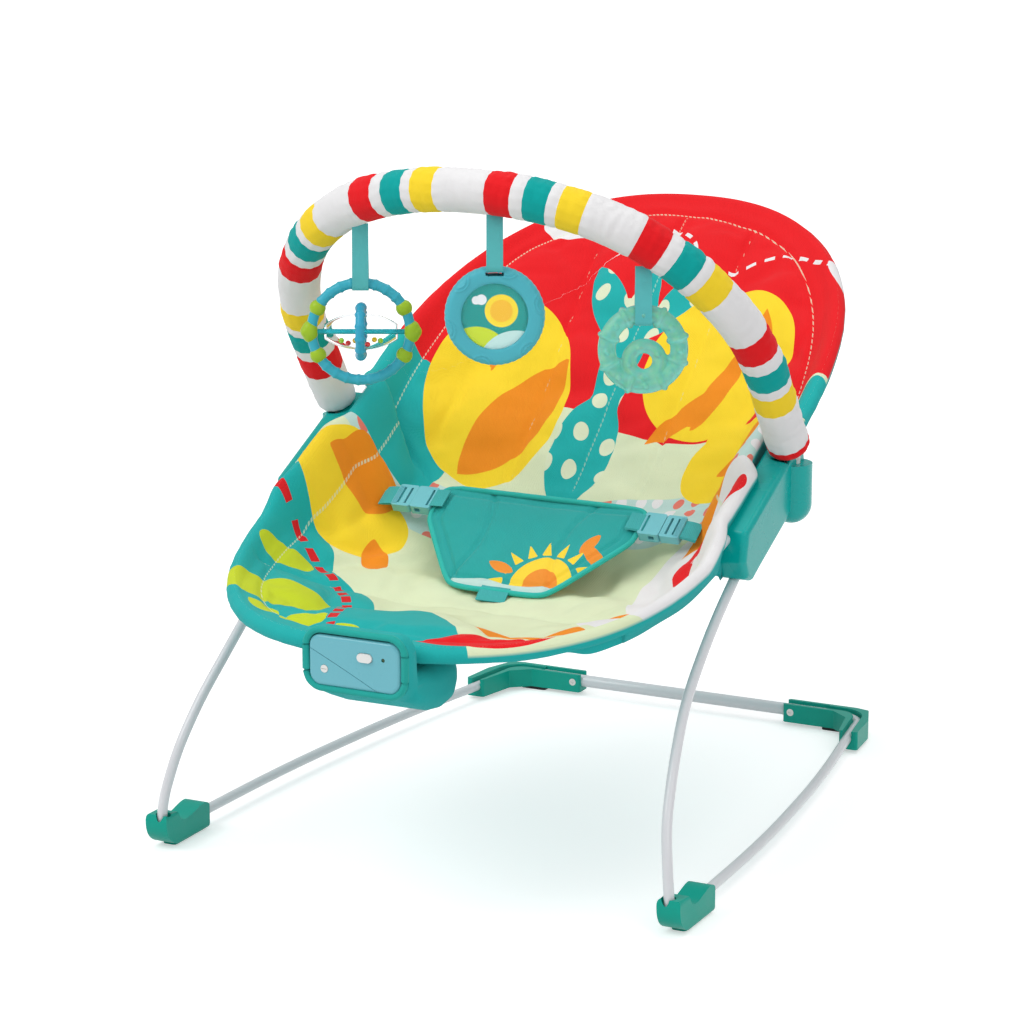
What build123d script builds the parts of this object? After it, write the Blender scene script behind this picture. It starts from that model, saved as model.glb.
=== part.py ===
from build123d import *
import os
from math import copysign, cos, pi, radians, sin, sqrt, tan

os.makedirs("parts", exist_ok=True)

# Baby bouncer seat. Millimetres, +Z up, the baby faces -Y, +X is the baby's left side.
# The origin is on the floor, under the middle of the whole seat.

# ---------------------------------------------------------------- driving dimensions
# base
LEG_WIRE_R = 4.0
RUNNER_Z = 12.0
FRONT_FOOT_X = 217.0
FRONT_FOOT_Y = -222.0
RUNNER_BOW_R = 2226.0
RUNNER_BOW_Y = -189.0
REAR_BAR_Y = 298.0
REAR_BAR_Z = 12.0
REAR_BEND_X = 166.0
CROSSBAR_END_X = 135.0
CROSSBAR_R = 5.3
CROSSBAR_BORE_R = 4.1
CONNECTOR_INNER_X = 97.0
CONNECTOR_SCREW_X = 104.0
CONNECTOR_HEIGHT = 19.0
CONNECTOR_WALL = 3.2
SCREW_SHANK_R = 1.5
SCREW_HEAD_R = 3.2

# seat frame
SEAT_WIRE_R = 3.5
RIM_X = 189.0
HUB_FRONT_Y = -54.0
HUB_FRONT_Z = 257.0
FRONT_REACH = 250.0
FRONT_EDGE_Z = 210.0
FRONT_POWER = 2.16
BACK_CENTRE_Y = 95.0
BACK_CENTRE_Z = 326.0
BACK_REACH = 222.0
BACK_POWER = 2.3
BACK_SLOPE = 0.536
RIM_PAD = 6.5
SEAT_SAG = 78.0
WING_START = 0.68
WING_START_RISE = 0.25
END_HALF_WIDTH = 34.0
SAG_CENTRE_Y = 0.0
PAD_THICKNESS = 9.0
SLING_THICKNESS = 2.0

# hubs
HUB_INNER_X = 180.0
HUB_OUTER_X = 204.0
HUB_WALL = 2.2
WIRE_IN_HUB = 31.0
BACK_WIRE_Y = 16.0

# toy bar
TOY_BAR_X = 198.6
TOY_BAR_Y = 43.0
TOY_BAR_Z = 300.0
TOY_BAR_LEAN = 35.66
TOY_LEG = 80.0
TOY_ARCH_RISE = 186.0
TOY_ARCH_POWER = 2.2
TOY_SLEEVE_START = 11.0
TOY_SLEEVE_R = 17.0
TOY_SLEEVE_END_R = 14.0
TOY_FOAM_R = 15.8
TOY_CORE_R = 5.0
PLUG_R = 6.5
SOCKET_CLEARANCE = 0.35
SOCKET_FLOOR_Z = 266.0
LOBE_CENTRE_Z = 264.0
LOBE_TOP_Z = 296.0
LOBE_R = 16.0

# hanging toys
RIBBON_WIDTH = 12.0
RIBBON_THICKNESS = 1.2
RIBBON_GAP = 1.4
TOY_TURN = 26.0
RING_TOY_X = -103.0
RING_TOY_Z = 398.0
RING_TOY_R = 38.0
RING_TOY_TUBE_R = 4.4
LUG_R = 7.0
AXLE_R = 2.0
AXLE_BORE_R = 2.4
BARREL_R = 14.5
BARREL_LENGTH = 56.0
BARREL_WALL = 1.3
BARREL_TIP_R = 6.0
BEAD_R = 2.1
DISC_TOY_X = 18.0
DISC_TOY_Z = 423.0
DISC_TOY_R = 38.0
DISC_TOY_THICKNESS = 14.0
DISC_WINDOW_R = 25.0
TEETHER_X = 130.0
TEETHER_Z = 403.0
TEETHER_R = 27.0
TEETHER_TUBE_R = 7.0

# restraint
RESTRAINT_TILT = 30.5
RESTRAINT_TOP_Y = 18.0
RESTRAINT_TOP_Z = 252.0
RESTRAINT_HALF_WIDTH = 90.0
RESTRAINT_LENGTH = 108.0
RESTRAINT_THICKNESS = 9.0

# vibration unit
UNIT_X = 12.0
UNIT_WIDTH = 74.0
UNIT_FRONT_Y = -326.0
UNIT_BACK_Y = -240.0
UNIT_FACE_LOW_Z = 188.0
UNIT_BOTTOM_Z = 163.5
UNIT_BOTTOM_Y = -272.0
UNIT_TOP_Z = 225.0
UNIT_BODY_TOP_Z = 195.0
UNIT_LIP_Y = -312.0
UNIT_SPLIT_Y = -315.0
UNIT_WALL = 1.8
UNIT_CORNER = 9.0
POCKET_SIDE = 6.5
POCKET_TOP_Z = 231.0
BUTTON_X = 21.0
BUTTON_Z = 212.0
BUTTON_WIDTH = 12.0
BUTTON_HEIGHT = 6.5
LAMP_X = 35.7
BOARD_Y = -317.6
DOOR_SCREW = (-12.0, 200.0)
DOOR_DEPTH = 2.8
CELL_R = 13.1
CELL_LENGTH = 50.0
CELL_CENTRE = (4.0, -257.0, 179.3)
MOTOR_CENTRE = (40.0, -272.0, 179.0)


# ---------------------------------------------------------------- curves that several parts share
def superellipse(angle, half_x, half_y, power):
    """Point of a rounded arch at an angle in degrees, 0 at +X and 90 at the crown."""
    across, along = cos(radians(angle)), sin(radians(angle))
    x = half_x * copysign(abs(across) ** (2 / power), across)
    y = half_y * abs(along) ** (2 / power)
    return x, y


def front_rim_z(y):
    """Height of the seat rim ahead of the hubs: it falls and levels out at the front edge."""
    ahead = min(max(HUB_FRONT_Y - y, 0.0), FRONT_REACH)
    return FRONT_EDGE_Z + (HUB_FRONT_Z - FRONT_EDGE_Z) * (1 - ahead / FRONT_REACH) ** 2


def back_rim_z(y):
    """Height of the seat rim behind the hubs: one straight slope."""
    return BACK_CENTRE_Z + BACK_SLOPE * (y - BACK_CENTRE_Y)


def front_rim_point(angle):
    x, ahead = superellipse(angle, RIM_X, FRONT_REACH, FRONT_POWER)
    y = HUB_FRONT_Y - ahead
    return Vector(x, y, front_rim_z(y))


def back_rim_point(angle):
    x, behind = superellipse(angle, RIM_X, BACK_REACH, BACK_POWER)
    y = BACK_CENTRE_Y + behind
    return Vector(x, y, back_rim_z(y))


def rim_half_width(y):
    """Half the width of the seat rim at a station along the seat."""
    if y < HUB_FRONT_Y:
        share = min((HUB_FRONT_Y - y) / FRONT_REACH, 1.0)
        return RIM_X * (1 - share ** FRONT_POWER) ** (1 / FRONT_POWER)
    if y > BACK_CENTRE_Y:
        share = min((y - BACK_CENTRE_Y) / BACK_REACH, 1.0)
        return RIM_X * (1 - share ** BACK_POWER) ** (1 / BACK_POWER)
    return RIM_X


def rim_z(y):
    """Height of the rim anywhere along the seat, joined smoothly beside the hubs."""
    if y < HUB_FRONT_Y:
        return front_rim_z(y)
    hub_rear_y = 60.0
    if y > hub_rear_y:
        return back_rim_z(y)
    share = (y - HUB_FRONT_Y) / (hub_rear_y - HUB_FRONT_Y)
    return HUB_FRONT_Z + share * (back_rim_z(hub_rear_y) - HUB_FRONT_Z)


def sag(y):
    """How far the middle of the sling hangs below the rim."""
    reach = FRONT_REACH - HUB_FRONT_Y if y < SAG_CENTRE_Y else BACK_CENTRE_Y + BACK_REACH
    share = min(abs(y - SAG_CENTRE_Y) / reach, 1.0)
    return SEAT_SAG * (0.5 + 0.5 * cos(pi * share))


def toy_plane_point(x, along):
    """Point of the toy bar's leaning plane: across the seat, and up along the plane."""
    lean = radians(TOY_BAR_LEAN)
    return Vector(x, TOY_BAR_Y - along * sin(lean), TOY_BAR_Z + along * cos(lean))


def bent_path(points):
    """Straight runs joined by tangent arcs, each arc as large as its two runs allow."""
    corners = [Vector(*p) for p in points]
    bend_radii = []
    for before, corner, after in zip(corners, corners[1:], corners[2:]):
        run_in, run_out = corner - before, after - corner
        turn = radians(run_in.get_angle(run_out))
        bend_radii.append(0.45 * min(run_in.length, run_out.length) / tan(turn / 2))
    return FilletPolyline(*corners, radius=bend_radii)


def rod(path, radius):
    """Round bar along a path."""
    section = Plane(origin=path @ 0, z_dir=path % 0) * Circle(radius)
    return sweep(section, path=path)


def tube(path, outer, inner):
    return rod(path, outer) - rod(path, inner)


def mirrored(shape):
    """The same piece on the baby's right side."""
    return mirror(shape, about=Plane.YZ)


def block(x_range, y_range, z_range):
    (x0, x1), (y0, y1), (z0, z1) = x_range, y_range, z_range
    middle = ((x0 + x1) / 2, (y0 + y1) / 2, (z0 + z1) / 2)
    return Pos(*middle) * Box(x1 - x0, y1 - y0, z1 - z0)


def disc(centre, axis, radius, length):
    """Round disc or pin centred on a point, along an axis."""
    return Plane(origin=centre, z_dir=axis) * Cylinder(radius, length)


def save(node, shape):
    """Write one sub-part as a single solid, or as a group of separate solids."""
    shapes = shape if isinstance(shape, list) else [shape]
    solids = [solid for item in shapes for solid in item.solids() if solid.volume > 0.05]
    piece = solids[0] if len(solids) == 1 else Compound(children=solids)
    piece.label = node
    export_step(piece, f"parts/{node}.step")


# ---------------------------------------------------------------- base
def runner_x(y):
    """The runner bows inwards towards the rear."""
    return FRONT_FOOT_X - max(y - RUNNER_BOW_Y, 0.0) ** 2 / (2 * RUNNER_BOW_R)


LEG_POINTS = [
    (CROSSBAR_END_X - 20, REAR_BAR_Y, REAR_BAR_Z),
    (REAR_BEND_X, REAR_BAR_Y, REAR_BAR_Z),
    (runner_x(262), 262, RUNNER_Z),
    (runner_x(130), 130, RUNNER_Z),
    (runner_x(-30), -30, RUNNER_Z),
    (FRONT_FOOT_X, FRONT_FOOT_Y + 20, RUNNER_Z),
    (FRONT_FOOT_X - 1, FRONT_FOOT_Y - 2, RUNNER_Z + 1),
    (FRONT_FOOT_X - 3, FRONT_FOOT_Y - 2, RUNNER_Z + 28),
    (FRONT_FOOT_X - 10, -213, 78),
    (201, -188, 113),
    (193, -148, 153),
    (RIM_X + 1, -94, 194),
    (RIM_X + 1, -41, 229),
    (RIM_X, -6, 250),
]


def leg_wire():
    """One bent wire each side: crossbar end, runner, front foot, and the springing leg up to the hub."""
    return rod(bent_path(LEG_POINTS), LEG_WIRE_R)


def crossbar():
    path = Line((-CROSSBAR_END_X, REAR_BAR_Y, REAR_BAR_Z), (CROSSBAR_END_X, REAR_BAR_Y, REAR_BAR_Z))
    bar = tube(path, CROSSBAR_R, CROSSBAR_BORE_R)
    for side in (-1, 1):
        bar -= disc((side * CONNECTOR_SCREW_X, REAR_BAR_Y, REAR_BAR_Z), (0, 1, 0), SCREW_SHANK_R, 30)
    return bar


def rear_connector():
    """Open-topped corner channel that holds the leg wire's rear bend and the crossbar's end."""
    outer_x = 176.0
    front_y = REAR_BAR_Y - CROSSBAR_R - CONNECTOR_WALL
    rear_y = REAR_BAR_Y + CROSSBAR_R + CONNECTOR_WALL
    arm_front_y = 240.0
    arm_inner_x, arm_outer_x = 168.0, 184.5
    outline = Polyline(
        (CONNECTOR_INNER_X, front_y),
        (144, front_y),
        (160, front_y - 13),
        (arm_inner_x, arm_front_y),
        (arm_outer_x, arm_front_y),
        (outer_x + 5, 276),
        (outer_x - 5, rear_y - 3),
        (outer_x - 17, rear_y),
        (CONNECTOR_INNER_X, rear_y),
        close=True,
    )
    plate = make_face(outline)
    plate = fillet(plate.vertices().filter_by(lambda v: v.Y > front_y - 20 or v.X > 150), 2.5)
    body = Pos(0, 0, 3) * extrude(plate, CONNECTOR_HEIGHT - 3)
    for level in (0, 4, 8):
        groove = [(x, y, z + level) for x, y, z in LEG_POINTS[:4]]
        body -= rod(bent_path(groove), LEG_WIRE_R + 0.15)
    body -= disc((CONNECTOR_INNER_X + 19, REAR_BAR_Y, REAR_BAR_Z), (1, 0, 0), CROSSBAR_R + 0.05, 40)
    body -= block((CONNECTOR_INNER_X - 1, CROSSBAR_END_X + 1),
                  (REAR_BAR_Y - CROSSBAR_R, REAR_BAR_Y + CROSSBAR_R), (REAR_BAR_Z, CONNECTOR_HEIGHT + 1))
    screw_at = (CONNECTOR_SCREW_X, REAR_BAR_Y, REAR_BAR_Z)
    body -= disc(screw_at, (0, 1, 0), SCREW_SHANK_R, 40)
    body -= disc((CONNECTOR_SCREW_X, front_y + 0.7, REAR_BAR_Z), (0, 1, 0), SCREW_HEAD_R, 1.5)
    body -= block(PAD_X, PAD_Y, (2, 5))
    return body


PAD_X = (132.0, 156.0)
PAD_Y = (291.5, 304.5)


def rear_pad():
    """Rubber grip pad set into the connector's underside."""
    pad = block(PAD_X, PAD_Y, (0, 5))
    return fillet(pad.edges().filter_by(Axis.Z), 3) & pad


def connector_screw():
    front_y = REAR_BAR_Y - CROSSBAR_R - CONNECTOR_WALL
    at = Vector(CONNECTOR_SCREW_X, front_y, REAR_BAR_Z)
    head = disc(at + Vector(0, 0.65, 0), (0, 1, 0), SCREW_HEAD_R - 0.1, 1.4)
    shank = disc(at + Vector(0, 8.3, 0), (0, 1, 0), SCREW_SHANK_R - 0.05, 14)
    cross = block((at.X - 0.4, at.X + 0.4), (front_y - 1, front_y + 0.7), (at.Z - 1.8, at.Z + 1.8))
    bar = block((at.X - 1.8, at.X + 1.8), (front_y - 1, front_y + 0.7), (at.Z - 0.4, at.Z + 0.4))
    return head + shank - cross - bar


def front_foot():
    """Moulded foot clipped over the wire where the runner turns up into the leg."""
    toe, heel = FRONT_FOOT_Y - 8, FRONT_FOOT_Y + 57
    half = 9.5
    side = make_face([
        Spline((heel, 1.5), (heel - 20, 0.2), (-204, 0.2), (toe + 6, 8), (toe, 24)),
        Line((toe, 24), (toe + 1, 29)),
        Line((toe + 1, 29), (toe + 18, 28)),
        Spline((toe + 18, 28), (toe + 24, 20), (toe + 35, 19.5), (heel, 20)),
        Line((heel, 20), (heel, 1.5)),
    ])
    body = Pos(FRONT_FOOT_X - half, 0, 0) * extrude(Plane.YZ * side, 2 * half, dir=(1, 0, 0))
    cross_section = Plane.XZ * Pos(FRONT_FOOT_X, 15) * RectangleRounded(2 * half, 29.6, 4.5)
    body &= Pos(0, toe - 20, 0) * extrude(cross_section, 120, dir=(0, 1, 0))
    sole = block((FRONT_FOOT_X - 6, FRONT_FOOT_X + 6), (-212, heel - 14), (0, 3))
    body += fillet(sole.edges().filter_by(Axis.Z), 3)
    body -= rod(bent_path(LEG_POINTS), LEG_WIRE_R + 0.1)
    mouth = disc((FRONT_FOOT_X - 2.8, FRONT_FOOT_Y - 2, 27), (-0.09, 0, 1), 6.0, 9)
    return body - mouth


# ---------------------------------------------------------------- seat frame and hubs
def front_path():
    slope = 2 * (HUB_FRONT_Z - FRONT_EDGE_Z) / FRONT_REACH
    hub_end = Vector(RIM_X, HUB_FRONT_Y + WIRE_IN_HUB, HUB_FRONT_Z + WIRE_IN_HUB * slope)
    arc = [front_rim_point(angle) for angle in (14, 32, 50, 68, 84, 96, 112, 130, 148, 166)]
    far_end = Vector(-RIM_X, hub_end.Y, hub_end.Z)
    return bent_path([hub_end, *arc, far_end])


def back_path():
    hub_end = Vector(RIM_X, BACK_WIRE_Y, back_rim_z(BACK_WIRE_Y))
    arc = [back_rim_point(angle) for angle in (12, 30, 48, 66, 83, 97, 114, 132, 150, 168)]
    far_end = Vector(-RIM_X, hub_end.Y, hub_end.Z)
    return bent_path([hub_end, *arc, far_end])


def front_tube(grow=0.0):
    """Bent wire round the front of the seat, plugged into both hubs."""
    return rod(front_path(), SEAT_WIRE_R + grow)


def back_tube(grow=0.0):
    """Bent wire round the head end of the seat, plugged into both hubs."""
    return rod(back_path(), SEAT_WIRE_R + grow)


HUB_OUTLINE = [
    (-58, 264), (-64, 240), (-57, 226), (-44, 222), (-30, 229), (24, 254), (50, 272),
    (60, 292), (54, 315), (30, 305),
]
HUB_SCREW_PLACES = [(-38, 243), (0, 259), (25, 270)]


def hub_blank(x0, x1, grow=0.0):
    """Slab of the hub's side outline between two planes across the seat."""
    outline = make_face(Plane.YZ * Polyline(*HUB_OUTLINE, close=True))
    outline = fillet(outline.vertices(), 4.5)
    if grow:
        outline = offset(outline, grow)
    return Pos(x0, 0, 0) * extrude(outline, x1 - x0, dir=(1, 0, 0))


def toy_axis(along):
    return toy_plane_point(TOY_BAR_X, along)


TOY_UP = toy_plane_point(0, 1) - toy_plane_point(0, 0)


def along_toy_axis(low, high, radius):
    """Cylinder round the toy bar's left leg, between two heights up its leaning plane."""
    start, end = toy_axis(low), toy_axis(high)
    return disc((start + end) * 0.5, TOY_UP, radius, high - low)


def wires_in_hub(grow):
    """The three wires that the hub's halves clamp."""
    leg = rod(bent_path(LEG_POINTS[-5:]), LEG_WIRE_R + grow + 0.2)
    near_hub = block((RIM_X - 30, RIM_X + 30), (-150, 120), (150, 400))
    return [leg, front_tube(grow) & near_hub, back_tube(grow) & near_hub]


HUB_WIRE_HOLES = wires_in_hub(0.1)
HUB_WIRE_BOSSES = wires_in_hub(2.6)


def hub_cavity(x0, x1):
    """Hollow of one half shell, with bosses left round the wires and the screws."""
    hollow = hub_blank(x0, x1, -HUB_WALL)
    for boss in HUB_WIRE_BOSSES:
        hollow -= boss
    for y, z in HUB_SCREW_PLACES:
        hollow -= disc(((x0 + x1) / 2, y, z), (1, 0, 0), 4.0, 60)
    return hollow


def socket_column(low, high, radius):
    """Upright cylinder on the axis of the toy bar's socket."""
    return disc((TOY_BAR_X, TOY_BAR_Y, (low + high) / 2), (0, 0, 1), radius, high - low)


def sleeve_room():
    """Space kept clear for the lower end of the toy bar's sleeve."""
    return along_toy_axis(TOY_SLEEVE_START - 0.8, 60, TOY_SLEEVE_R + 0.8)


def neck_room():
    """Space above the socket that the plug's leaning neck rises through as the toy bar lifts off."""
    room = along_toy_axis(0, TOY_SLEEVE_START + 4, PLUG_R + 0.5)
    for lift in (5, 10, 15, 20):
        room += Pos(0, 0, lift) * along_toy_axis(0, TOY_SLEEVE_START + 4, PLUG_R + 0.5)
    return room


def hub_outer():
    """Outer half shell of the hub, with the toy bar's socket."""
    shell = hub_blank(RIM_X, HUB_OUTER_X)
    shell = fillet(shell.faces().sort_by(Axis.X)[-1].edges(), 5)
    shell -= hub_cavity(RIM_X - 1, HUB_OUTER_X - HUB_WALL)
    lobe = socket_column(LOBE_CENTRE_Z, LOBE_TOP_Z, LOBE_R)
    lobe += Pos(TOY_BAR_X, TOY_BAR_Y, LOBE_CENTRE_Z) * Sphere(LOBE_R)
    lobe &= block((RIM_X, 230), (-60, 120), (200, 340))
    shell += lobe
    shell -= sleeve_room()
    shell -= socket_column(SOCKET_FLOOR_Z, LOBE_TOP_Z + 20, PLUG_R + SOCKET_CLEARANCE)
    shell -= neck_room()
    for wire in HUB_WIRE_HOLES:
        shell -= wire
    for y, z in HUB_SCREW_PLACES:
        shell -= disc((RIM_X, y, z), (1, 0, 0), SCREW_SHANK_R, 20)
    return shell


def hub_inner():
    """Inner half shell of the hub, against the seat fabric."""
    shell = hub_blank(HUB_INNER_X, RIM_X)
    shell = fillet(shell.faces().sort_by(Axis.X)[0].edges(), 3)
    shell -= hub_cavity(HUB_INNER_X + HUB_WALL, RIM_X + 1)
    shell -= sleeve_room()
    for wire in HUB_WIRE_HOLES:
        shell -= wire
    for y, z in HUB_SCREW_PLACES:
        shell -= disc((HUB_INNER_X, y, z), (1, 0, 0), SCREW_SHANK_R + 0.05, 60)
        shell -= disc((HUB_INNER_X, y, z), (1, 0, 0), SCREW_HEAD_R, 4.4)
    return shell


def hub_screws():
    """Screws that clamp the hub's halves from the inside."""
    screws = []
    for y, z in HUB_SCREW_PLACES:
        head = disc((HUB_INNER_X + 1.1, y, z), (1, 0, 0), SCREW_HEAD_R - 0.1, 2.1)
        shank = disc((HUB_INNER_X + 10, y, z), (1, 0, 0), SCREW_SHANK_R - 0.05, 17)
        slot = block((HUB_INNER_X - 1, HUB_INNER_X + 1), (y - 0.4, y + 0.4), (z - 1.8, z + 1.8))
        screws.append(head + shank - slot)
    return screws


# ---------------------------------------------------------------- seat cover
PAD_STATIONS = [-309.5, -299, -278, -243, -190, -130, -60, 15, 90, 160, 225, 275, 305, 323.5]


def seat_section(y, edge_top, mid_top, edge_low, mid_low):
    """Cross-section of a soft layer. Heights are measured from the rim wire and from the sagging middle."""
    half = max(rim_half_width(y), END_HALF_WIDTH) + RIM_PAD
    rim, low = rim_z(y), rim_z(y) - sag(y)

    def sagging(edge, middle):
        wing = middle + (edge - middle) * WING_START_RISE
        return [(half, edge), (half * WING_START, wing), (0, middle), (-half * WING_START, wing), (-half, edge)]

    upper = [(x, y, z) for x, z in sagging(rim + edge_top, low + mid_top)]
    lower = [(x, y, z) for x, z in sagging(rim + edge_low, low + mid_low)]
    sides = [Line(upper[-1], lower[-1]), Line(lower[0], upper[0])]
    return make_face([Spline(*upper), sides[0], Spline(*lower), sides[1]])


def seat_layer(edge_top, mid_top, edge_low, mid_low):
    layer = loft([seat_section(y, edge_top, mid_top, edge_low, mid_low) for y in PAD_STATIONS])
    layer -= front_tube(0.1)
    layer -= back_tube(0.1)
    hub_room = hub_blank(HUB_INNER_X - 0.6, 260, 0.7)
    return layer - hub_room - mirrored(hub_room)


def biggest(shape):
    return shape.solids().sort_by(SortBy.VOLUME)[-1]


def seat_pad():
    """Quilted top layer that the baby lies on."""
    return biggest(seat_layer(RIM_PAD, RIM_PAD, 0.0, RIM_PAD - PAD_THICKNESS))


def seat_sling():
    """Plain fabric sling under the pad, which carries the load between the wires."""
    pad_low = RIM_PAD - PAD_THICKNESS
    return biggest(seat_layer(-0.3, pad_low - 0.3, -RIM_PAD + 0.3, pad_low - 0.3 - SLING_THICKNESS))


def vibration_pocket():
    """Fabric pouch at the front edge that carries the vibration unit, bound round the unit's face."""
    side = UNIT_WIDTH / 2 + POCKET_SIDE
    front_y, lip_y, rear_y = UNIT_FRONT_Y + 2, UNIT_LIP_Y + 2.1, UNIT_BACK_Y + 4
    body_top = UNIT_BODY_TOP_Z + 3.4
    outline = make_face(Plane.YZ * Polyline(
        (front_y, UNIT_FACE_LOW_Z - 5),
        (UNIT_BOTTOM_Y, UNIT_BOTTOM_Z - 4),
        (rear_y - 8, UNIT_BOTTOM_Z - 4),
        (rear_y, UNIT_BOTTOM_Z + 6),
        (rear_y, body_top),
        (lip_y, body_top),
        (lip_y, POCKET_TOP_Z),
        (front_y, POCKET_TOP_Z),
        close=True,
    ))
    pouch = Pos(UNIT_X - side, 0, 0) * extrude(outline, 2 * side, dir=(1, 0, 0))
    pouch = fillet(long_edges(pouch, POCKET_TOP_Z), UNIT_CORNER + 4)
    return pouch - unit_solid(-0.4, UNIT_CORNER)


# ---------------------------------------------------------------- restraint
def restraint_plane(height=0.0):
    """Local plane of the crotch panel: x across, y down the slope, z out of the panel."""
    tilt = radians(RESTRAINT_TILT)
    normal = Vector(0, -sin(tilt), cos(tilt))
    origin = Vector(0, RESTRAINT_TOP_Y, RESTRAINT_TOP_Z) + normal * height
    return Plane(origin=origin, x_dir=(-1, 0, 0), z_dir=normal)


def restraint_box(x_range, down_range, up_range):
    """Box in the crotch panel's plane. Left is +X of the seat, so across is mirrored into it."""
    (x0, x1), (d0, d1), (u0, u1) = x_range, down_range, up_range
    middle = Pos(-(x0 + x1) / 2, (d0 + d1) / 2, (u0 + u1) / 2)
    return restraint_plane() * middle * Box(x1 - x0, d1 - d0, u1 - u0)


def crotch_panel():
    """Padded six-sided panel that comes up between the baby's legs."""
    side_length = 38.0
    foot_half = 42.0
    outline = make_face(Polyline(
        (-RESTRAINT_HALF_WIDTH, 0), (RESTRAINT_HALF_WIDTH, 0), (RESTRAINT_HALF_WIDTH, side_length),
        (foot_half, RESTRAINT_LENGTH), (-foot_half, RESTRAINT_LENGTH), (-RESTRAINT_HALF_WIDTH, side_length),
        close=True,
    ))
    outline = fillet(outline.vertices(), 7)
    panel = extrude(outline, RESTRAINT_THICKNESS / 2, both=True)
    panel = fillet(panel.edges().group_by(Axis.Z)[-1], 3)
    return restraint_plane() * panel


def crotch_strap():
    """Webbing from the panel's foot down to the seat, sewn flat against the pad."""
    return restraint_box((-12.5, 12.5), (RESTRAINT_LENGTH + 0.3, RESTRAINT_LENGTH + 10), (-1.2, 1.2))


SOCKET_X = (RESTRAINT_HALF_WIDTH + 1.0, RESTRAINT_HALF_WIDTH + 19.0)
PLUG_X = (SOCKET_X[1] + 0.4, SOCKET_X[1] + 17.0)
BUCKLE_DOWN = (7.0, 31.0)
BUCKLE_UP = (-4.0, 4.0)


def buckle_socket():
    """Female half of the side-release buckle, with its webbing bar."""
    down0, down1 = BUCKLE_DOWN
    body = restraint_box(SOCKET_X, BUCKLE_DOWN, BUCKLE_UP)
    body = fillet(body.edges().filter_by(lambda e: e.length < 8.5), 2.0)
    body -= restraint_box((SOCKET_X[0] + 6, SOCKET_X[1] + 1), (down0 + 3, down1 - 3), (-2.0, 2.0))
    body -= restraint_box((SOCKET_X[0] + 9, SOCKET_X[1] - 4), (down0 - 1, down1 + 1), (-1.9, 1.9))
    body -= restraint_box((SOCKET_X[0] + 2.5, SOCKET_X[0] + 4.5), (down0 + 3, down1 - 3), (-5, 5))
    return body


def buckle_plug():
    """Male half: two spring prongs that enter the socket, and a ribbed ladder bar for the waist strap."""
    down0, down1 = BUCKLE_DOWN
    middle = (down0 + down1) / 2
    body = restraint_box(PLUG_X, BUCKLE_DOWN, (-3.6, 3.6))
    body = fillet(body.edges().filter_by(lambda e: e.length < 7.5), 2.0)
    for low, high in ((4.0, 6.0), (10.0, 12.0)):
        body -= restraint_box((PLUG_X[0] + low, PLUG_X[0] + high), (down0 + 3, down1 - 3), (-5, 5))
    prong_x = (SOCKET_X[0] + 7.5, PLUG_X[0] + 0.5)
    body += restraint_box(prong_x, (down0 + 3.6, down0 + 6.2), (-1.6, 1.6))
    body += restraint_box(prong_x, (down1 - 6.2, down1 - 3.6), (-1.6, 1.6))
    body += restraint_box(prong_x, (middle - 1.2, middle + 1.2), (-1.6, 1.6))
    for ridge in range(4):
        low = PLUG_X[1] - 4.6 + ridge * 1.2
        body += restraint_box((low, low + 0.6), (down0 + 2, down1 - 2), (3.5, 4.1))
    return body


def waist_strap():
    """Short webbing from the ladder bar out to the seat's wing."""
    start = PLUG_X[1] + 0.3
    return restraint_box((start, start + 9), (BUCKLE_DOWN[0] + 1, BUCKLE_DOWN[1] - 1), (0.0, 1.6))


# ---------------------------------------------------------------- vibration unit
def unit_side_profile(inset):
    """Side outline of the unit's casing: a deep body under the rim wire, and the face in front of it."""
    return make_face(Plane.YZ * Polyline(
        (UNIT_FRONT_Y + inset, UNIT_FACE_LOW_Z + inset),
        (UNIT_BOTTOM_Y + inset * 0.2, UNIT_BOTTOM_Z + inset),
        (UNIT_BACK_Y - inset, UNIT_BOTTOM_Z + inset),
        (UNIT_BACK_Y - inset, UNIT_BODY_TOP_Z - inset),
        (UNIT_LIP_Y - inset, UNIT_BODY_TOP_Z - inset),
        (UNIT_LIP_Y - inset, UNIT_TOP_Z - inset),
        (UNIT_FRONT_Y + inset, UNIT_TOP_Z - inset),
        close=True,
    ))


def long_edges(body, top_z):
    """Edges down both flanks of the unit or its pouch: those along the top of the face and the underside."""
    flanks = [edge for edge in body.edges() if abs((edge @ 0).X - (edge @ 1).X) < 0.01]
    along = [edge for edge in flanks if abs((edge @ 0).Y - (edge @ 1).Y) > 1]
    return [edge for edge in along if edge.center().Z > top_z - 1 or edge.center().Z < UNIT_FACE_LOW_Z]


def unit_solid(inset, corner):
    half = UNIT_WIDTH / 2 - inset
    body = Pos(UNIT_X - half, 0, 0) * extrude(unit_side_profile(inset), 2 * half, dir=(1, 0, 0))
    return fillet(long_edges(body, UNIT_TOP_Z - inset), corner)


def unit_casing():
    shell = unit_solid(0, UNIT_CORNER)
    face_edges = shell.faces().sort_by(Axis.Y)[0].edges()
    shell = fillet(face_edges, 3)
    return shell - unit_solid(UNIT_WALL, UNIT_CORNER - UNIT_WALL)


def door_cutter(gap):
    """Everything on the battery side of the door's curved seam."""
    start, middle, end = (-40, 222), (3, 202), (44, 181)
    seam = ThreePointArc(*[(x - gap * 0.7, z - gap * 0.7) for x, z in (start, middle, end)])
    low, left = 140, -60
    rim = Polyline(seam @ 1, ((seam @ 1).X, low), (left, low), (left, (seam @ 0).Y), seam @ 0)
    solid = extrude(Plane.XZ * make_face([seam, *rim.edges()]), 60, dir=(0, 1, 0))
    return Pos(0, UNIT_FRONT_Y - 10, 0) * solid


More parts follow.
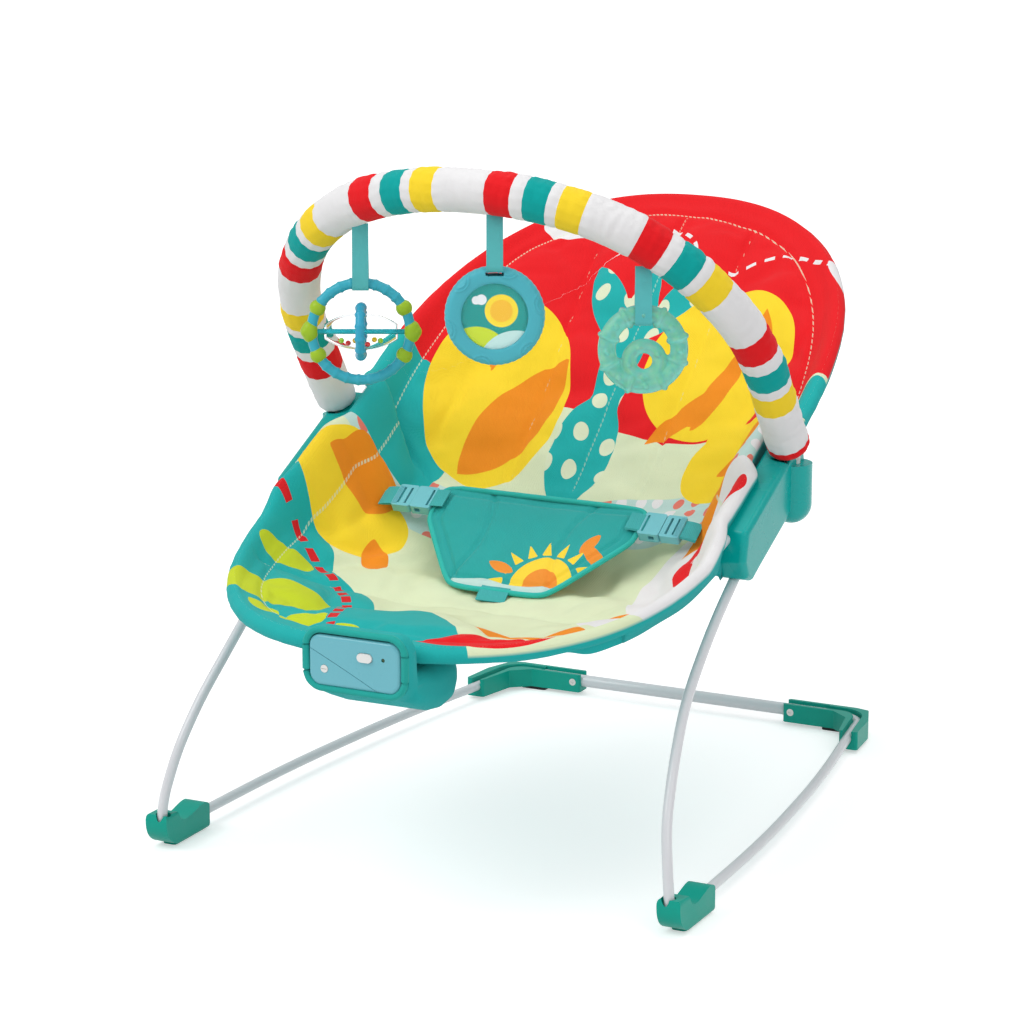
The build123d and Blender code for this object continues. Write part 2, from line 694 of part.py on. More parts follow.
def oval_hole(grow, y_low, y_high):
    slot = Plane.XZ * SlotOverall(BUTTON_WIDTH + 2 * grow, BUTTON_HEIGHT + 2 * grow)
    return Pos(BUTTON_X, y_low, BUTTON_Z) * extrude(slot, y_high - y_low, dir=(0, 1, 0))


def unit_front():
    """Face shell with the power button's and the lamp's openings."""
    front = unit_casing() & block((-60, 90), (-400, UNIT_SPLIT_Y), (100, 260))
    front -= door_cutter(0) & block((-60, 90), (-400, UNIT_FRONT_Y + DOOR_DEPTH + 0.4), (100, 260))
    front -= oval_hole(0.35, UNIT_FRONT_Y - 5, UNIT_FRONT_Y + 8)
    front -= disc((LAMP_X, UNIT_FRONT_Y, BUTTON_Z), (0, 1, 0), 1.5, 12)
    return biggest(front)


def unit_back():
    """Rear shell behind the split line."""
    return biggest(unit_casing() & block((-60, 90), (UNIT_SPLIT_Y + 0.1, -200), (100, 260)))


def battery_door():
    """Lower corner of the face that comes away to change the cell."""
    front = unit_casing() & block((-60, 90), (-400, UNIT_FRONT_Y + DOOR_DEPTH), (100, 260))
    door = biggest(front & door_cutter(0.45))
    x, z = DOOR_SCREW
    door -= disc((x, UNIT_FRONT_Y, z), (0, 1, 0), 1.5, 12)
    return door - disc((x, UNIT_FRONT_Y, z), (0, 1, 0), 3.0, 2.0)


def door_screw():
    x, z = DOOR_SCREW
    head = disc((x, UNIT_FRONT_Y + 0.3, z), (0, 1, 0), 2.9, 1.2)
    shank = disc((x, UNIT_FRONT_Y + 4.5, z), (0, 1, 0), 1.4, 9)
    return head + shank - block((x - 2.2, x + 2.2), (UNIT_FRONT_Y - 2, UNIT_FRONT_Y + 0.2), (z - 0.3, z + 0.3))


def power_button():
    """Oval push button with a flange behind the face and a stem onto the switch."""
    cap = oval_hole(0, UNIT_FRONT_Y - 1.3, UNIT_FRONT_Y + UNIT_WALL + 0.5)
    flange = oval_hole(1.2, UNIT_FRONT_Y + UNIT_WALL + 0.4, UNIT_FRONT_Y + UNIT_WALL + 1.2)
    stem = disc((BUTTON_X, UNIT_FRONT_Y + UNIT_WALL + 1.4, BUTTON_Z), (0, 1, 0), 1.5, 2.0)
    return cap + flange + stem


def switch():
    """Push switch soldered to the board behind the button."""
    base_y = BOARD_Y - 0.1
    body = block((BUTTON_X - 3, BUTTON_X + 3), (base_y - 2.0, base_y), (BUTTON_Z - 3, BUTTON_Z + 3))
    return body + disc((BUTTON_X, base_y - 2.3, BUTTON_Z), (0, 1, 0), 1.2, 0.8)


def circuit_board():
    return block((10, 46), (BOARD_Y, BOARD_Y + 1.2), (BUTTON_Z - 8, BUTTON_Z + 6))


def lamp():
    """Indicator lamp on the board, its dome in the face's round hole."""
    tip_y = UNIT_FRONT_Y + 0.6
    lens = disc((LAMP_X, (tip_y + BOARD_Y) / 2, BUTTON_Z), (0, 1, 0), 1.35, BOARD_Y - tip_y - 0.2)
    return lens


def battery():
    """One C cell lying across the unit, with its raised positive button."""
    x, y, z = CELL_CENTRE
    can = disc((x, y, z), (1, 0, 0), CELL_R, CELL_LENGTH - 1.5)
    return fillet(can.edges(), 0.8) + disc((x + CELL_LENGTH / 2, y, z), (1, 0, 0), 3.3, 1.6)


def battery_contacts():
    """Spring plate at one end of the cell and flat plate at the other."""
    x, y, z = CELL_CENTRE
    low, high = x - CELL_LENGTH / 2 - 1.4, x + CELL_LENGTH / 2 + 1.0
    flat = block((high, high + 0.5), (y - 5, y + 5), (z - 6, z + 6))
    plate = block((low, low + 0.5), (y - 5, y + 5), (z - 6, z + 6))
    return [flat, plate + disc((low + 0.9, y, z), (1, 0, 0), 3.5, 0.9)]


def motor():
    """Small flat-sided motor beside the cell."""
    x, y, z = MOTOR_CENTRE
    can = disc((x, y, z), (0, 1, 0), 7.6, 18)
    can &= block((x - 5.6, x + 5.6), (y - 20, y + 20), (z - 20, z + 20))
    return can - disc((x, y + 9, z), (0, 1, 0), 1.2, 8)


def motor_weight():
    """Eccentric weight on the motor's shaft: this is what shakes the seat."""
    x, y, z = MOTOR_CENTRE
    shaft = disc((x, y + 10, z), (0, 1, 0), 0.8, 9)
    half_disc = disc((x, y + 12, z), (0, 1, 0), 5.4, 5) & block((x - 9, x + 9), (y, y + 30), (z - 9, z))
    return shaft + half_disc + disc((x, y + 12, z), (0, 1, 0), 1.9, 5)


# ---------------------------------------------------------------- toy bar
def toy_path(start):
    """Centreline of the toy bar from one socket over the arch to the other."""
    arch = [superellipse(angle, TOY_BAR_X, TOY_ARCH_RISE, TOY_ARCH_POWER)
            for angle in (8, 25, 42, 58, 74, 90, 106, 122, 138, 155, 172)]
    points = [toy_plane_point(TOY_BAR_X, start)]
    points += [toy_plane_point(x, TOY_LEG + rise) for x, rise in arch]
    points.append(toy_plane_point(-TOY_BAR_X, start))
    return bent_path(points)


TOY_PATH = toy_path(0.0)


def toy_layer(outer, inner, start):
    """One tubular layer of the toy bar, its two ends cut square across the leaning legs."""
    layer = tube(TOY_PATH, outer, inner)
    end = along_toy_axis(-30, start, outer + 5)
    return layer - end - mirrored(end)


def toy_core():
    """Plastic tube that gives the toy bar its shape."""
    return toy_layer(TOY_CORE_R, TOY_CORE_R - 1.2, 2.0)


def toy_foam():
    return toy_layer(TOY_FOAM_R, TOY_CORE_R + 0.1, TOY_SLEEVE_START + 3)


def toy_sleeve():
    """Striped fabric sleeve over the foam."""
    return toy_layer(TOY_SLEEVE_R, TOY_FOAM_R + 0.1, TOY_SLEEVE_START)


def toy_plug():
    """Elbow plug on the toy bar's end: an upright pin for the hub's socket, and a collar for the core."""
    pin = socket_column(SOCKET_FLOOR_Z + 0.5, TOY_BAR_Z, PLUG_R)
    pin = fillet(pin.edges().sort_by(Axis.Z)[0], 1.5)
    elbow = Pos(TOY_BAR_X, TOY_BAR_Y, TOY_BAR_Z) * Sphere(PLUG_R)
    neck = along_toy_axis(0, TOY_SLEEVE_START, PLUG_R)
    collar = along_toy_axis(TOY_SLEEVE_START, TOY_SLEEVE_START + 2.6, TOY_FOAM_R - 3)
    return pin + elbow + neck + collar - along_toy_axis(1.7, 40, TOY_CORE_R + 0.3)


# ---------------------------------------------------------------- hanging toys
def toy_arch_at(x):
    """Share of the toy bar's centreline at which it passes a place across the seat."""
    low, high = 0.0, 1.0
    for _ in range(40):
        middle = (low + high) / 2
        if (TOY_PATH @ middle).X > x:
            low = middle
        else:
            high = middle
    return low


def hang_point(x):
    """Where a toy's ribbon leaves the underside of the toy bar."""
    share = toy_arch_at(x)
    centre, run = TOY_PATH @ share, TOY_PATH % share
    steep = abs(run.Z)
    below = TOY_SLEEVE_R / sqrt(1 - steep * steep) + steep / abs(run.X) * RIBBON_WIDTH / 2
    return Vector(x, centre.Y, centre.Z - below - RIBBON_GAP)


def turned(shape, x):
    """A toy faces a little towards the baby's left: turn it on its own ribbon."""
    return shape.rotate(Axis(hang_point(x), (0, 0, 1)), TOY_TURN)


def ribbon(x, low_z):
    """Doubled ribbon from the bar's underside to the toy."""
    top = hang_point(x)
    half = RIBBON_WIDTH / 2
    band = block((x - half, x + half), (top.Y - RIBBON_THICKNESS, top.Y + RIBBON_THICKNESS), (low_z, top.Z))
    return turned(band, x)


def torus_at(centre, axis, major, minor):
    return Plane(origin=centre, z_dir=axis) * Torus(major, minor)


LUG_X = RING_TOY_R + 2
RING_CENTRE = Vector(RING_TOY_X, hang_point(RING_TOY_X).Y, RING_TOY_Z)
DISC_CENTRE = Vector(DISC_TOY_X, hang_point(DISC_TOY_X).Y, DISC_TOY_Z)
TEETHER_CENTRE = Vector(TEETHER_X, hang_point(TEETHER_X).Y, TEETHER_Z)


def ring_toy_hoop():
    """Outer hoop, interrupted on each side by the lugs."""
    hoop = torus_at(RING_CENTRE, (0, 1, 0), RING_TOY_R, RING_TOY_TUBE_R)
    for side in (-1, 1):
        hoop -= Pos(*(RING_CENTRE + Vector(side * LUG_X, 0, 0))) * Sphere(LUG_R + 0.1)
    return [turned(arc, RING_TOY_X) for arc in hoop.solids()]


def ring_toy_lugs():
    """Two soft lugs moulded over the hoop; the barrel's axle runs in them."""
    mouth = sqrt(LUG_R ** 2 - AXLE_BORE_R ** 2)
    outline = make_face([
        Line((0.5, 0), (0.5, AXLE_BORE_R)),
        Line((0.5, AXLE_BORE_R), (-mouth, AXLE_BORE_R)),
        ThreePointArc((-mouth, AXLE_BORE_R), (0, LUG_R), (LUG_R, 0)),
        Line((LUG_R, 0), (0.5, 0)),
    ])
    lug = revolve(outline, Axis.X)
    lugs = []
    for half_turn, side in ((0, 1), (180, -1)):
        at = RING_CENTRE + Vector(side * LUG_X, 0, 0)
        lugs.append(turned(Pos(*at) * Rot(0, 0, half_turn) * lug, RING_TOY_X))
    return lugs


def barrel_axle():
    """Axle through the barrel, its ends in the hoop's lugs."""
    return turned(disc(RING_CENTRE, (1, 0, 0), AXLE_R, 2 * RING_TOY_R - 2), RING_TOY_X)


def barrel_profile(inset):
    """Half outline of the spindle-shaped barrel, revolved about its long axis."""
    half = BARREL_LENGTH / 2 - inset
    tip = BARREL_TIP_R - inset
    belly = BARREL_R - inset
    return make_face([
        Line((-half, 0), (half, 0)),
        Line((half, 0), (half, tip)),
        ThreePointArc((half, tip), (0, belly), (-half, tip)),
        Line((-half, tip), (-half, 0)),
    ])


def barrel_shell():
    shell = revolve(barrel_profile(0), Axis.X) - revolve(barrel_profile(BARREL_WALL), Axis.X)
    shell = Pos(*RING_CENTRE) * shell
    return turned(shell - disc(RING_CENTRE, (1, 0, 0), 2.05, 100), RING_TOY_X)


def barrel_beads():
    """Loose beads that rattle, lying on the barrel's floor."""
    beads = []
    for index in range(7):
        x = (index - 3) * 5.0
        taper = (BARREL_R - BARREL_TIP_R) * (2 * (abs(x) + 2) / BARREL_LENGTH) ** 2
        reach = BARREL_R - BARREL_WALL - taper - BEAD_R - 0.4
        swing = radians((index % 3 - 1) * 35)
        at = RING_CENTRE + Vector(x, reach * sin(swing), -reach * cos(swing))
        beads.append(turned(Pos(*at) * Sphere(BEAD_R), RING_TOY_X))
    return beads


def bumpy_ring():
    """Ring that spins round the barrel's waist."""
    ring = torus_at(RING_CENTRE, (1, 0, 0), BARREL_R + 4.1, 3.7)
    for index in range(8):
        angle = radians(index * 45 + 20)
        at = RING_CENTRE + Vector(0, cos(angle), sin(angle)) * (BARREL_R + 7.0)
        ring += Pos(*at) * Sphere(2.4)
    return turned(ring, RING_TOY_X)


def disc_toy_half(front):
    """One half of the disc toy's rim, split across its thickness."""
    sign = -1 if front else 1
    depth = DISC_TOY_THICKNESS / 2
    centre = DISC_CENTRE + Vector(0, sign * depth / 2, 0)
    half = disc(centre, (0, 1, 0), DISC_TOY_R, depth - 0.05)
    outer_face = half.faces().sort_by(Axis.Y)[0 if front else -1]
    half = fillet(outer_face.edges(), 2.5)
    half -= disc(DISC_CENTRE, (0, 1, 0), DISC_WINDOW_R + 1.5, 2 * (depth - 2.2))
    if front:
        half -= disc(DISC_CENTRE - Vector(0, 8, 0), (0, 1, 0), DISC_WINDOW_R, 12)
        for index in range(6):
            angle = radians(30 + index * 60)
            at = centre + Vector(cos(angle) * 31.5, -depth / 2, sin(angle) * 31.5)
            half += disc(at, (0, 1, 0), 3.2, 1.6)
    return turned(half - disc_toy_slot(), DISC_TOY_X)


def disc_toy_slot():
    """Slot near the rim that the ribbon passes through."""
    z = DISC_CENTRE.Z + DISC_TOY_R - 5.6
    return block((DISC_TOY_X - 7, DISC_TOY_X + 7), (DISC_CENTRE.Y - 20, DISC_CENTRE.Y + 20), (z - 1.6, z + 1.6))


def disc_toy_picture():
    return turned(disc(DISC_CENTRE - Vector(0, 2.6, 0), (0, 1, 0), DISC_WINDOW_R + 1.2, 1.0), DISC_TOY_X)


def disc_toy_window():
    return turned(disc(DISC_CENTRE - Vector(0, 4.0, 0), (0, 1, 0), DISC_WINDOW_R + 1.2, 1.2), DISC_TOY_X)


def teether():
    """Chewable spiral: a big loop with a small loop inside it, with collars and holes."""
    body = torus_at(TEETHER_CENTRE, (0, 1, 0), TEETHER_R, TEETHER_TUBE_R)
    body += torus_at(TEETHER_CENTRE + Vector(0, 0, -9), (0, 1, 0), 11.5, 5.8)
    for angle in (20, 75, 135, 200, 330):
        spoke = Vector(cos(radians(angle)), 0, sin(radians(angle)))
        along = Vector(-sin(radians(angle)), 0, cos(radians(angle)))
        body += disc(TEETHER_CENTRE + spoke * TEETHER_R, along, TEETHER_TUBE_R + 0.9, 2.4)
    return turned(body, TEETHER_X)


# ---------------------------------------------------------------- write every piece
pieces = {
    "crossbar_tube": crossbar(),
    "connector_screws": [connector_screw(), mirrored(connector_screw())],
    "rear_pads": [rear_pad(), mirrored(rear_pad())],
    "seat_front_tube": front_tube(),
    "seat_back_tube": back_tube(),
    "hub_screws": [*hub_screws(), *[mirrored(screw) for screw in hub_screws()]],
    "seat_pad": seat_pad(),
    "seat_sling": seat_sling(),
    "vibration_pocket": vibration_pocket(),
    "crotch_panel": crotch_panel(),
    "crotch_strap": crotch_strap(),
    "unit_front_shell": unit_front(),
    "unit_back_shell": unit_back(),
    "battery_door": battery_door(),
    "battery_door_screw": door_screw(),
    "power_button": power_button(),
    "power_switch": switch(),
    "circuit_board": circuit_board(),
    "indicator_lamp": lamp(),
    "battery_cell": battery(),
    "battery_contacts": battery_contacts(),
    "vibration_motor": motor(),
    "motor_weight": motor_weight(),
    "toy_bar_core": toy_core(),
    "toy_bar_foam": toy_foam(),
    "toy_bar_sleeve": toy_sleeve(),
    "ring_toy_ribbon": ribbon(RING_TOY_X, RING_TOY_Z + RING_TOY_R + RING_TOY_TUBE_R + 0.1),
    "ring_toy_hoop": ring_toy_hoop(),
    "ring_toy_lugs": ring_toy_lugs(),
    "barrel_axle": barrel_axle(),
    "barrel_shell": barrel_shell(),
    "barrel_beads": barrel_beads(),
    "bumpy_ring": bumpy_ring(),
    "disc_toy_ribbon": ribbon(DISC_TOY_X, DISC_TOY_Z + DISC_TOY_R + 0.1),
    "disc_toy_front": disc_toy_half(True),
    "disc_toy_back": disc_toy_half(False),
    "disc_toy_picture": disc_toy_picture(),
    "disc_toy_window": disc_toy_window(),
    "teether_ribbon": ribbon(TEETHER_X, TEETHER_Z + TEETHER_R + TEETHER_TUBE_R + 0.1),
    "teether_spiral": teether(),
}
paired = {
    "leg_wire": leg_wire(),
    "rear_connector": rear_connector(),
    "front_foot": front_foot(),
    "hub_outer": hub_outer(),
    "hub_inner": hub_inner(),
    "buckle_socket": buckle_socket(),
    "buckle_plug": buckle_plug(),
    "waist_strap": waist_strap(),
    "toy_bar_plug": toy_plug(),
}
for name, piece in paired.items():
    pieces[f"{name}_left"] = piece
    pieces[f"{name}_right"] = mirrored(piece)

for name, piece in pieces.items():
    save(name, piece)
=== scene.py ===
import math
from contextlib import contextmanager

import bmesh
import bpy
import numpy as np
from mathutils import Matrix, Vector, noise
from mathutils.bvhtree import BVHTree


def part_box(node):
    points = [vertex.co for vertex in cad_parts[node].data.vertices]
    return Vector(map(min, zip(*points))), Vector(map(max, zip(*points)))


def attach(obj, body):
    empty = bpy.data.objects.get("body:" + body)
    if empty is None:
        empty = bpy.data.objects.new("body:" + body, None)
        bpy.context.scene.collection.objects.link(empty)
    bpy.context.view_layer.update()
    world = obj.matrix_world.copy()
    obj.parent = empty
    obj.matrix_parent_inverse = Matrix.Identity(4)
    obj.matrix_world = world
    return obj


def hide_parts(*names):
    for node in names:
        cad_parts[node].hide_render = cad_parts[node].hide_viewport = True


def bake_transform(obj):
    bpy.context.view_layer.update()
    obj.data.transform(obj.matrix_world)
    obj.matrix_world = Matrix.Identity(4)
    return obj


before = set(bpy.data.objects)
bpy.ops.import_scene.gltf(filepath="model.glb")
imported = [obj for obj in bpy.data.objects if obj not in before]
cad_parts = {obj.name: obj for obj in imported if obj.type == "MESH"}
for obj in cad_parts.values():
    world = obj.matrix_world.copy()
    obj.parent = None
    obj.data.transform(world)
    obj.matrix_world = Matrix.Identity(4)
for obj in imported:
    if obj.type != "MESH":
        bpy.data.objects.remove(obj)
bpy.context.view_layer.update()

bl_info = {
    "name": "Baby bouncer seat",
    "version": (1, 0, 0),
    "blender": (4, 5, 0),
    "location": "View3D > Sidebar > Bouncer",
    "description": "Builds the padded cover, harness, toy bar and toys of a baby bouncer seat",
    "category": "Object",
}

MM = 0.001

# ------------------------------------------------------------ shared sizes, in metres, as the solids have them
# the rim wire: seen from above, two half ovals with the hubs between them
RIM_X, HUB_FRONT_Y, HUB_BACK_Y, BACK_CENTRE_Y = 0.189, -0.054, 0.060, 0.095
FOOT_END_Y, HEAD_END_Y, SEAT_MIDDLE_Y = -0.304, 0.317, 0.0065
FRONT_REACH, BACK_REACH = 0.250, 0.222
FRONT_POWER, BACK_POWER = 2.16, 2.3
# and its height: low at the foot end, up through the hubs, then straight up to the head end
RIM_FOOT_Z, RIM_FOOT_RISE = 0.210, 0.047
RIM_HUB_FRONT_Z, RIM_HUB_BACK_Z, HUB_RUN = 0.257, 0.30724, 0.114
RIM_BACK_Z, RIM_BACK_SLOPE = 0.326, 0.536
RIM_ROLL = 0.0065
# how the cover's edge draws in and climbs beside the hubs: an amount, and where along Y it starts and ends
HUB_PULL, HUB_PULL_START = 0.0055, (-0.082, -0.062)
BAR_PULL, BAR_PULL_START = 0.012, (-0.008, 0.013)
PULL_END = (0.058, 0.076)
HUB_CLIMB, CLIMB_START, CLIMB_END = 0.0150, (-0.106, -0.064), (0.052, 0.090)
# the toy bar: the middle of its left foot, its lean forwards, straight legs and oval arch
TOY_LEAN = math.radians(35.66)
TOY_BASE = Vector((0.1986, 0.043, 0.300))
TOY_LEG, TOY_RISE, TOY_POWER = 0.080, 0.186, 2.2
SLEEVE_START = 0.011
# how far the hanging toys are turned about Z
TOY_TURN = math.radians(26.0)


# ------------------------------------------------------------ properties
class BouncerSizes(bpy.types.PropertyGroup):
    """Sizes that a user may want to change."""

    pad_puff: bpy.props.FloatProperty(
        name="Pad puff", description="How far the quilted top swells between its seams",
        default=0.006, min=0.0, max=0.012, subtype="DISTANCE")
    sleeve_radius: bpy.props.FloatProperty(
        name="Sleeve radius", description="Radius of the toy bar's padded sleeve",
        default=0.0168, min=0.012, max=0.0175, subtype="DISTANCE")
    piping_radius: bpy.props.FloatProperty(
        name="Piping radius", description="Radius of the piping round the crotch panel",
        default=0.0022, min=0.001, max=0.004, subtype="DISTANCE")


def linear(rgb):
    """Screen colour, 0 to 255, to scene-linear."""
    return tuple((c / 255 / 12.92) if c / 255 <= 0.04045 else ((c / 255 + 0.055) / 1.055) ** 2.4 for c in rgb)


def colour_property(label, words, rgb):
    return bpy.props.FloatVectorProperty(name=label, description=words, subtype="COLOR", size=3,
                                         min=0.0, max=1.0, default=linear(rgb))


class BouncerColours(bpy.types.PropertyGroup):
    """Colours of the seat's fabrics and plastics."""

    red: colour_property("Red", "Red of the print and the stripes", (236, 24, 32))
    teal: colour_property("Teal", "Teal of the print and the plain fabric", (30, 178, 176))
    deep_teal: colour_property("Deep teal", "Teal of the harness panel and the stripes", (0, 166, 162))
    yellow: colour_property("Yellow", "Yellow of the print and the stripes", (255, 220, 48))
    orange: colour_property("Orange", "Orange of the print", (246, 146, 30))
    lime: colour_property("Lime", "Lime of the print", (204, 220, 40))
    cream: colour_property("Cream", "Pale green cream of the print", (228, 238, 205))
    aqua: colour_property("Pale aqua", "Pale band of the print", (196, 226, 220))
    white: colour_property("White", "Off-white of the print and the stripes", (238, 237, 238))
    hub: colour_property("Hub teal", "Teal of the hubs and corner channels", (0, 172, 166))
    foot: colour_property("Foot teal", "Teal of the front feet", (0, 165, 146))
    unit: colour_property("Unit blue", "Blue of the vibration unit", (112, 190, 204))
    buckle: colour_property("Buckle blue", "Blue of the buckles", (118, 198, 208))
    disc: colour_property("Disc blue", "Blue of the disc toy's rim", (84, 188, 204))
    toy: colour_property("Toy blue", "Blue of the rattle and the disc", (62, 180, 202))
    toy_lime: colour_property("Toy lime", "Lime of the rattle's lugs", (164, 200, 46))
    ribbon: colour_property("Ribbon", "Ribbon that the toys hang on", (84, 192, 194))
    wire: colour_property("Wire", "Paint on the wire frame", (226, 227, 231))


# ------------------------------------------------------------ small tools
def deselect():
    bpy.ops.object.select_all(action="DESELECT")


def activate(obj):
    deselect()
    obj.select_set(True)
    bpy.context.view_layer.objects.active = obj


def apply_modifiers(obj):
    activate(obj)
    for modifier in list(obj.modifiers):
        bpy.ops.object.modifier_apply(modifier=modifier.name)


def smooth(obj, angle=None):
    activate(obj)
    if angle is None:
        bpy.ops.object.shade_smooth()
    else:
        bpy.ops.object.shade_smooth_by_angle(angle=math.radians(angle))


def grid_faces(index):
    """Four-sided faces between the neighbours in a table of point numbers."""
    corners = [index[:-1, :-1], index[1:, :-1], index[1:, 1:], index[:-1, 1:]]
    return np.stack(corners, -1).reshape(-1, 4)


def from_grid(name, rows, close_u=False, close_v=False):
    """Mesh from an array of points [row, column, xyz]."""
    rows = np.asarray(rows, float)
    count_u, count_v = rows.shape[:2]
    index = np.arange(count_u * count_v).reshape(count_u, count_v)
    if close_u:
        index = np.vstack([index, index[:1]])
    if close_v:
        index = np.hstack([index, index[:, :1]])
    return from_faces(name, rows.reshape(-1, 3), grid_faces(index))


def from_faces(name, points, faces):
    mesh = bpy.data.meshes.new(name)
    mesh.from_pydata([tuple(p) for p in points], [], [tuple(int(i) for i in f) for f in faces])
    mesh.validate()
    obj = bpy.data.objects.new(name, mesh)
    bpy.context.collection.objects.link(obj)
    smooth(obj)
    return obj


@contextmanager
def editing(obj, action=None):
    """Edit mode on one mesh, with its selection first set by an action."""
    activate(obj)
    bpy.ops.object.mode_set(mode="EDIT")
    if action:
        bpy.ops.mesh.select_all(action=action)
    yield
    bpy.ops.object.mode_set(mode="OBJECT")


def cap_ends(obj):
    """Close a tube's open ends."""
    with editing(obj, "DESELECT"):
        bpy.ops.mesh.select_non_manifold()
        bpy.ops.mesh.fill()


def outward(obj, merge=1e-5):
    """Merge doubles and make the normals point outwards."""
    with editing(obj, "SELECT"):
        bpy.ops.mesh.remove_doubles(threshold=merge)
        bpy.ops.mesh.normals_make_consistent(inside=False)


def join(objects, name):
    deselect()
    for obj in objects:
        obj.select_set(True)
    bpy.context.view_layer.objects.active = objects[0]
    bpy.ops.object.join()
    objects[0].name = name
    return objects[0]


def place(obj, matrix):
    """Move a mesh's points into the seat's frame."""
    obj.data.transform(matrix)
    obj.data.update()


def at_origin(obj):
    """Apply the object's own transform to its mesh."""
    activate(obj)
    bpy.ops.object.transform_apply(location=True, rotation=True, scale=True)


def attribute(obj, name, values):
    """A number for each of a mesh's points, for its material to read."""
    layer = obj.data.attributes.new(name=name, type="FLOAT", domain="POINT")
    layer.data.foreach_set("value", np.asarray(values, np.float32).ravel())


def finish_piece(obj, body, material, replaces=()):
    """Give a new piece its finish, the body that it rides on and the solids that it stands for."""
    obj.data.materials.clear()
    obj.data.materials.append(material)
    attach(obj, body)
    if replaces:
        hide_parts(*replaces)


def paint_node(node, material):
    """Give a solid that stays its finish."""
    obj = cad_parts[node]
    if not obj.material_slots:
        obj.data.materials.append(material)
    for slot in obj.material_slots:
        slot.material = material


def smoothstep(low, high, values):
    """0 up to low, 1 from high on, and a soft rise between them."""
    share = np.clip((np.asarray(values, float) - low) / (high - low), 0, 1)
    return share * share * (3 - 2 * share)


def rounded_path(points, rounds=3):
    """Soften a polyline by cutting its corners."""
    points = [Vector(p) for p in points]
    for _ in range(rounds):
        cut = [points[0]]
        for a, b in zip(points, points[1:]):
            cut += [a.lerp(b, 0.25), a.lerp(b, 0.75)]
        points = cut + [points[-1]]
    return points


def closed_tube(name, path, section):
    """Tube along a closed path; section gives (sideways, upwards) for each station and angle."""
    rows = []
    for i, centre in enumerate(path):
        run = (path[(i + 1) % len(path)] - path[i - 1]).normalized()
        side = run.cross(Vector((0, 0, 1)))
        if side.length < 0.05:
            side = run.cross(Vector((0, 1, 0)))
        side.normalize()
        lift = side.cross(run).normalized()
        rows.append([centre + side * a + lift * b for a, b in section(i)])
    return from_grid(name, rows, close_u=True, close_v=True)


def oval(half_wide, half_high, count):
    angles = [2 * math.pi * k / count for k in range(count)]
    return [(half_wide * math.cos(a), half_high * math.sin(a)) for a in angles]


def on_ring(radius, degrees, y=0.0):
    """Point on a ring that lies in its own XZ plane."""
    a = math.radians(degrees)
    return Vector((radius * math.cos(a), y, radius * math.sin(a)))


def wobble(x, y, z, scale):
    """Smooth, fixed unevenness at a place."""
    return noise.noise(Vector((x * scale, y * scale, z * scale)))


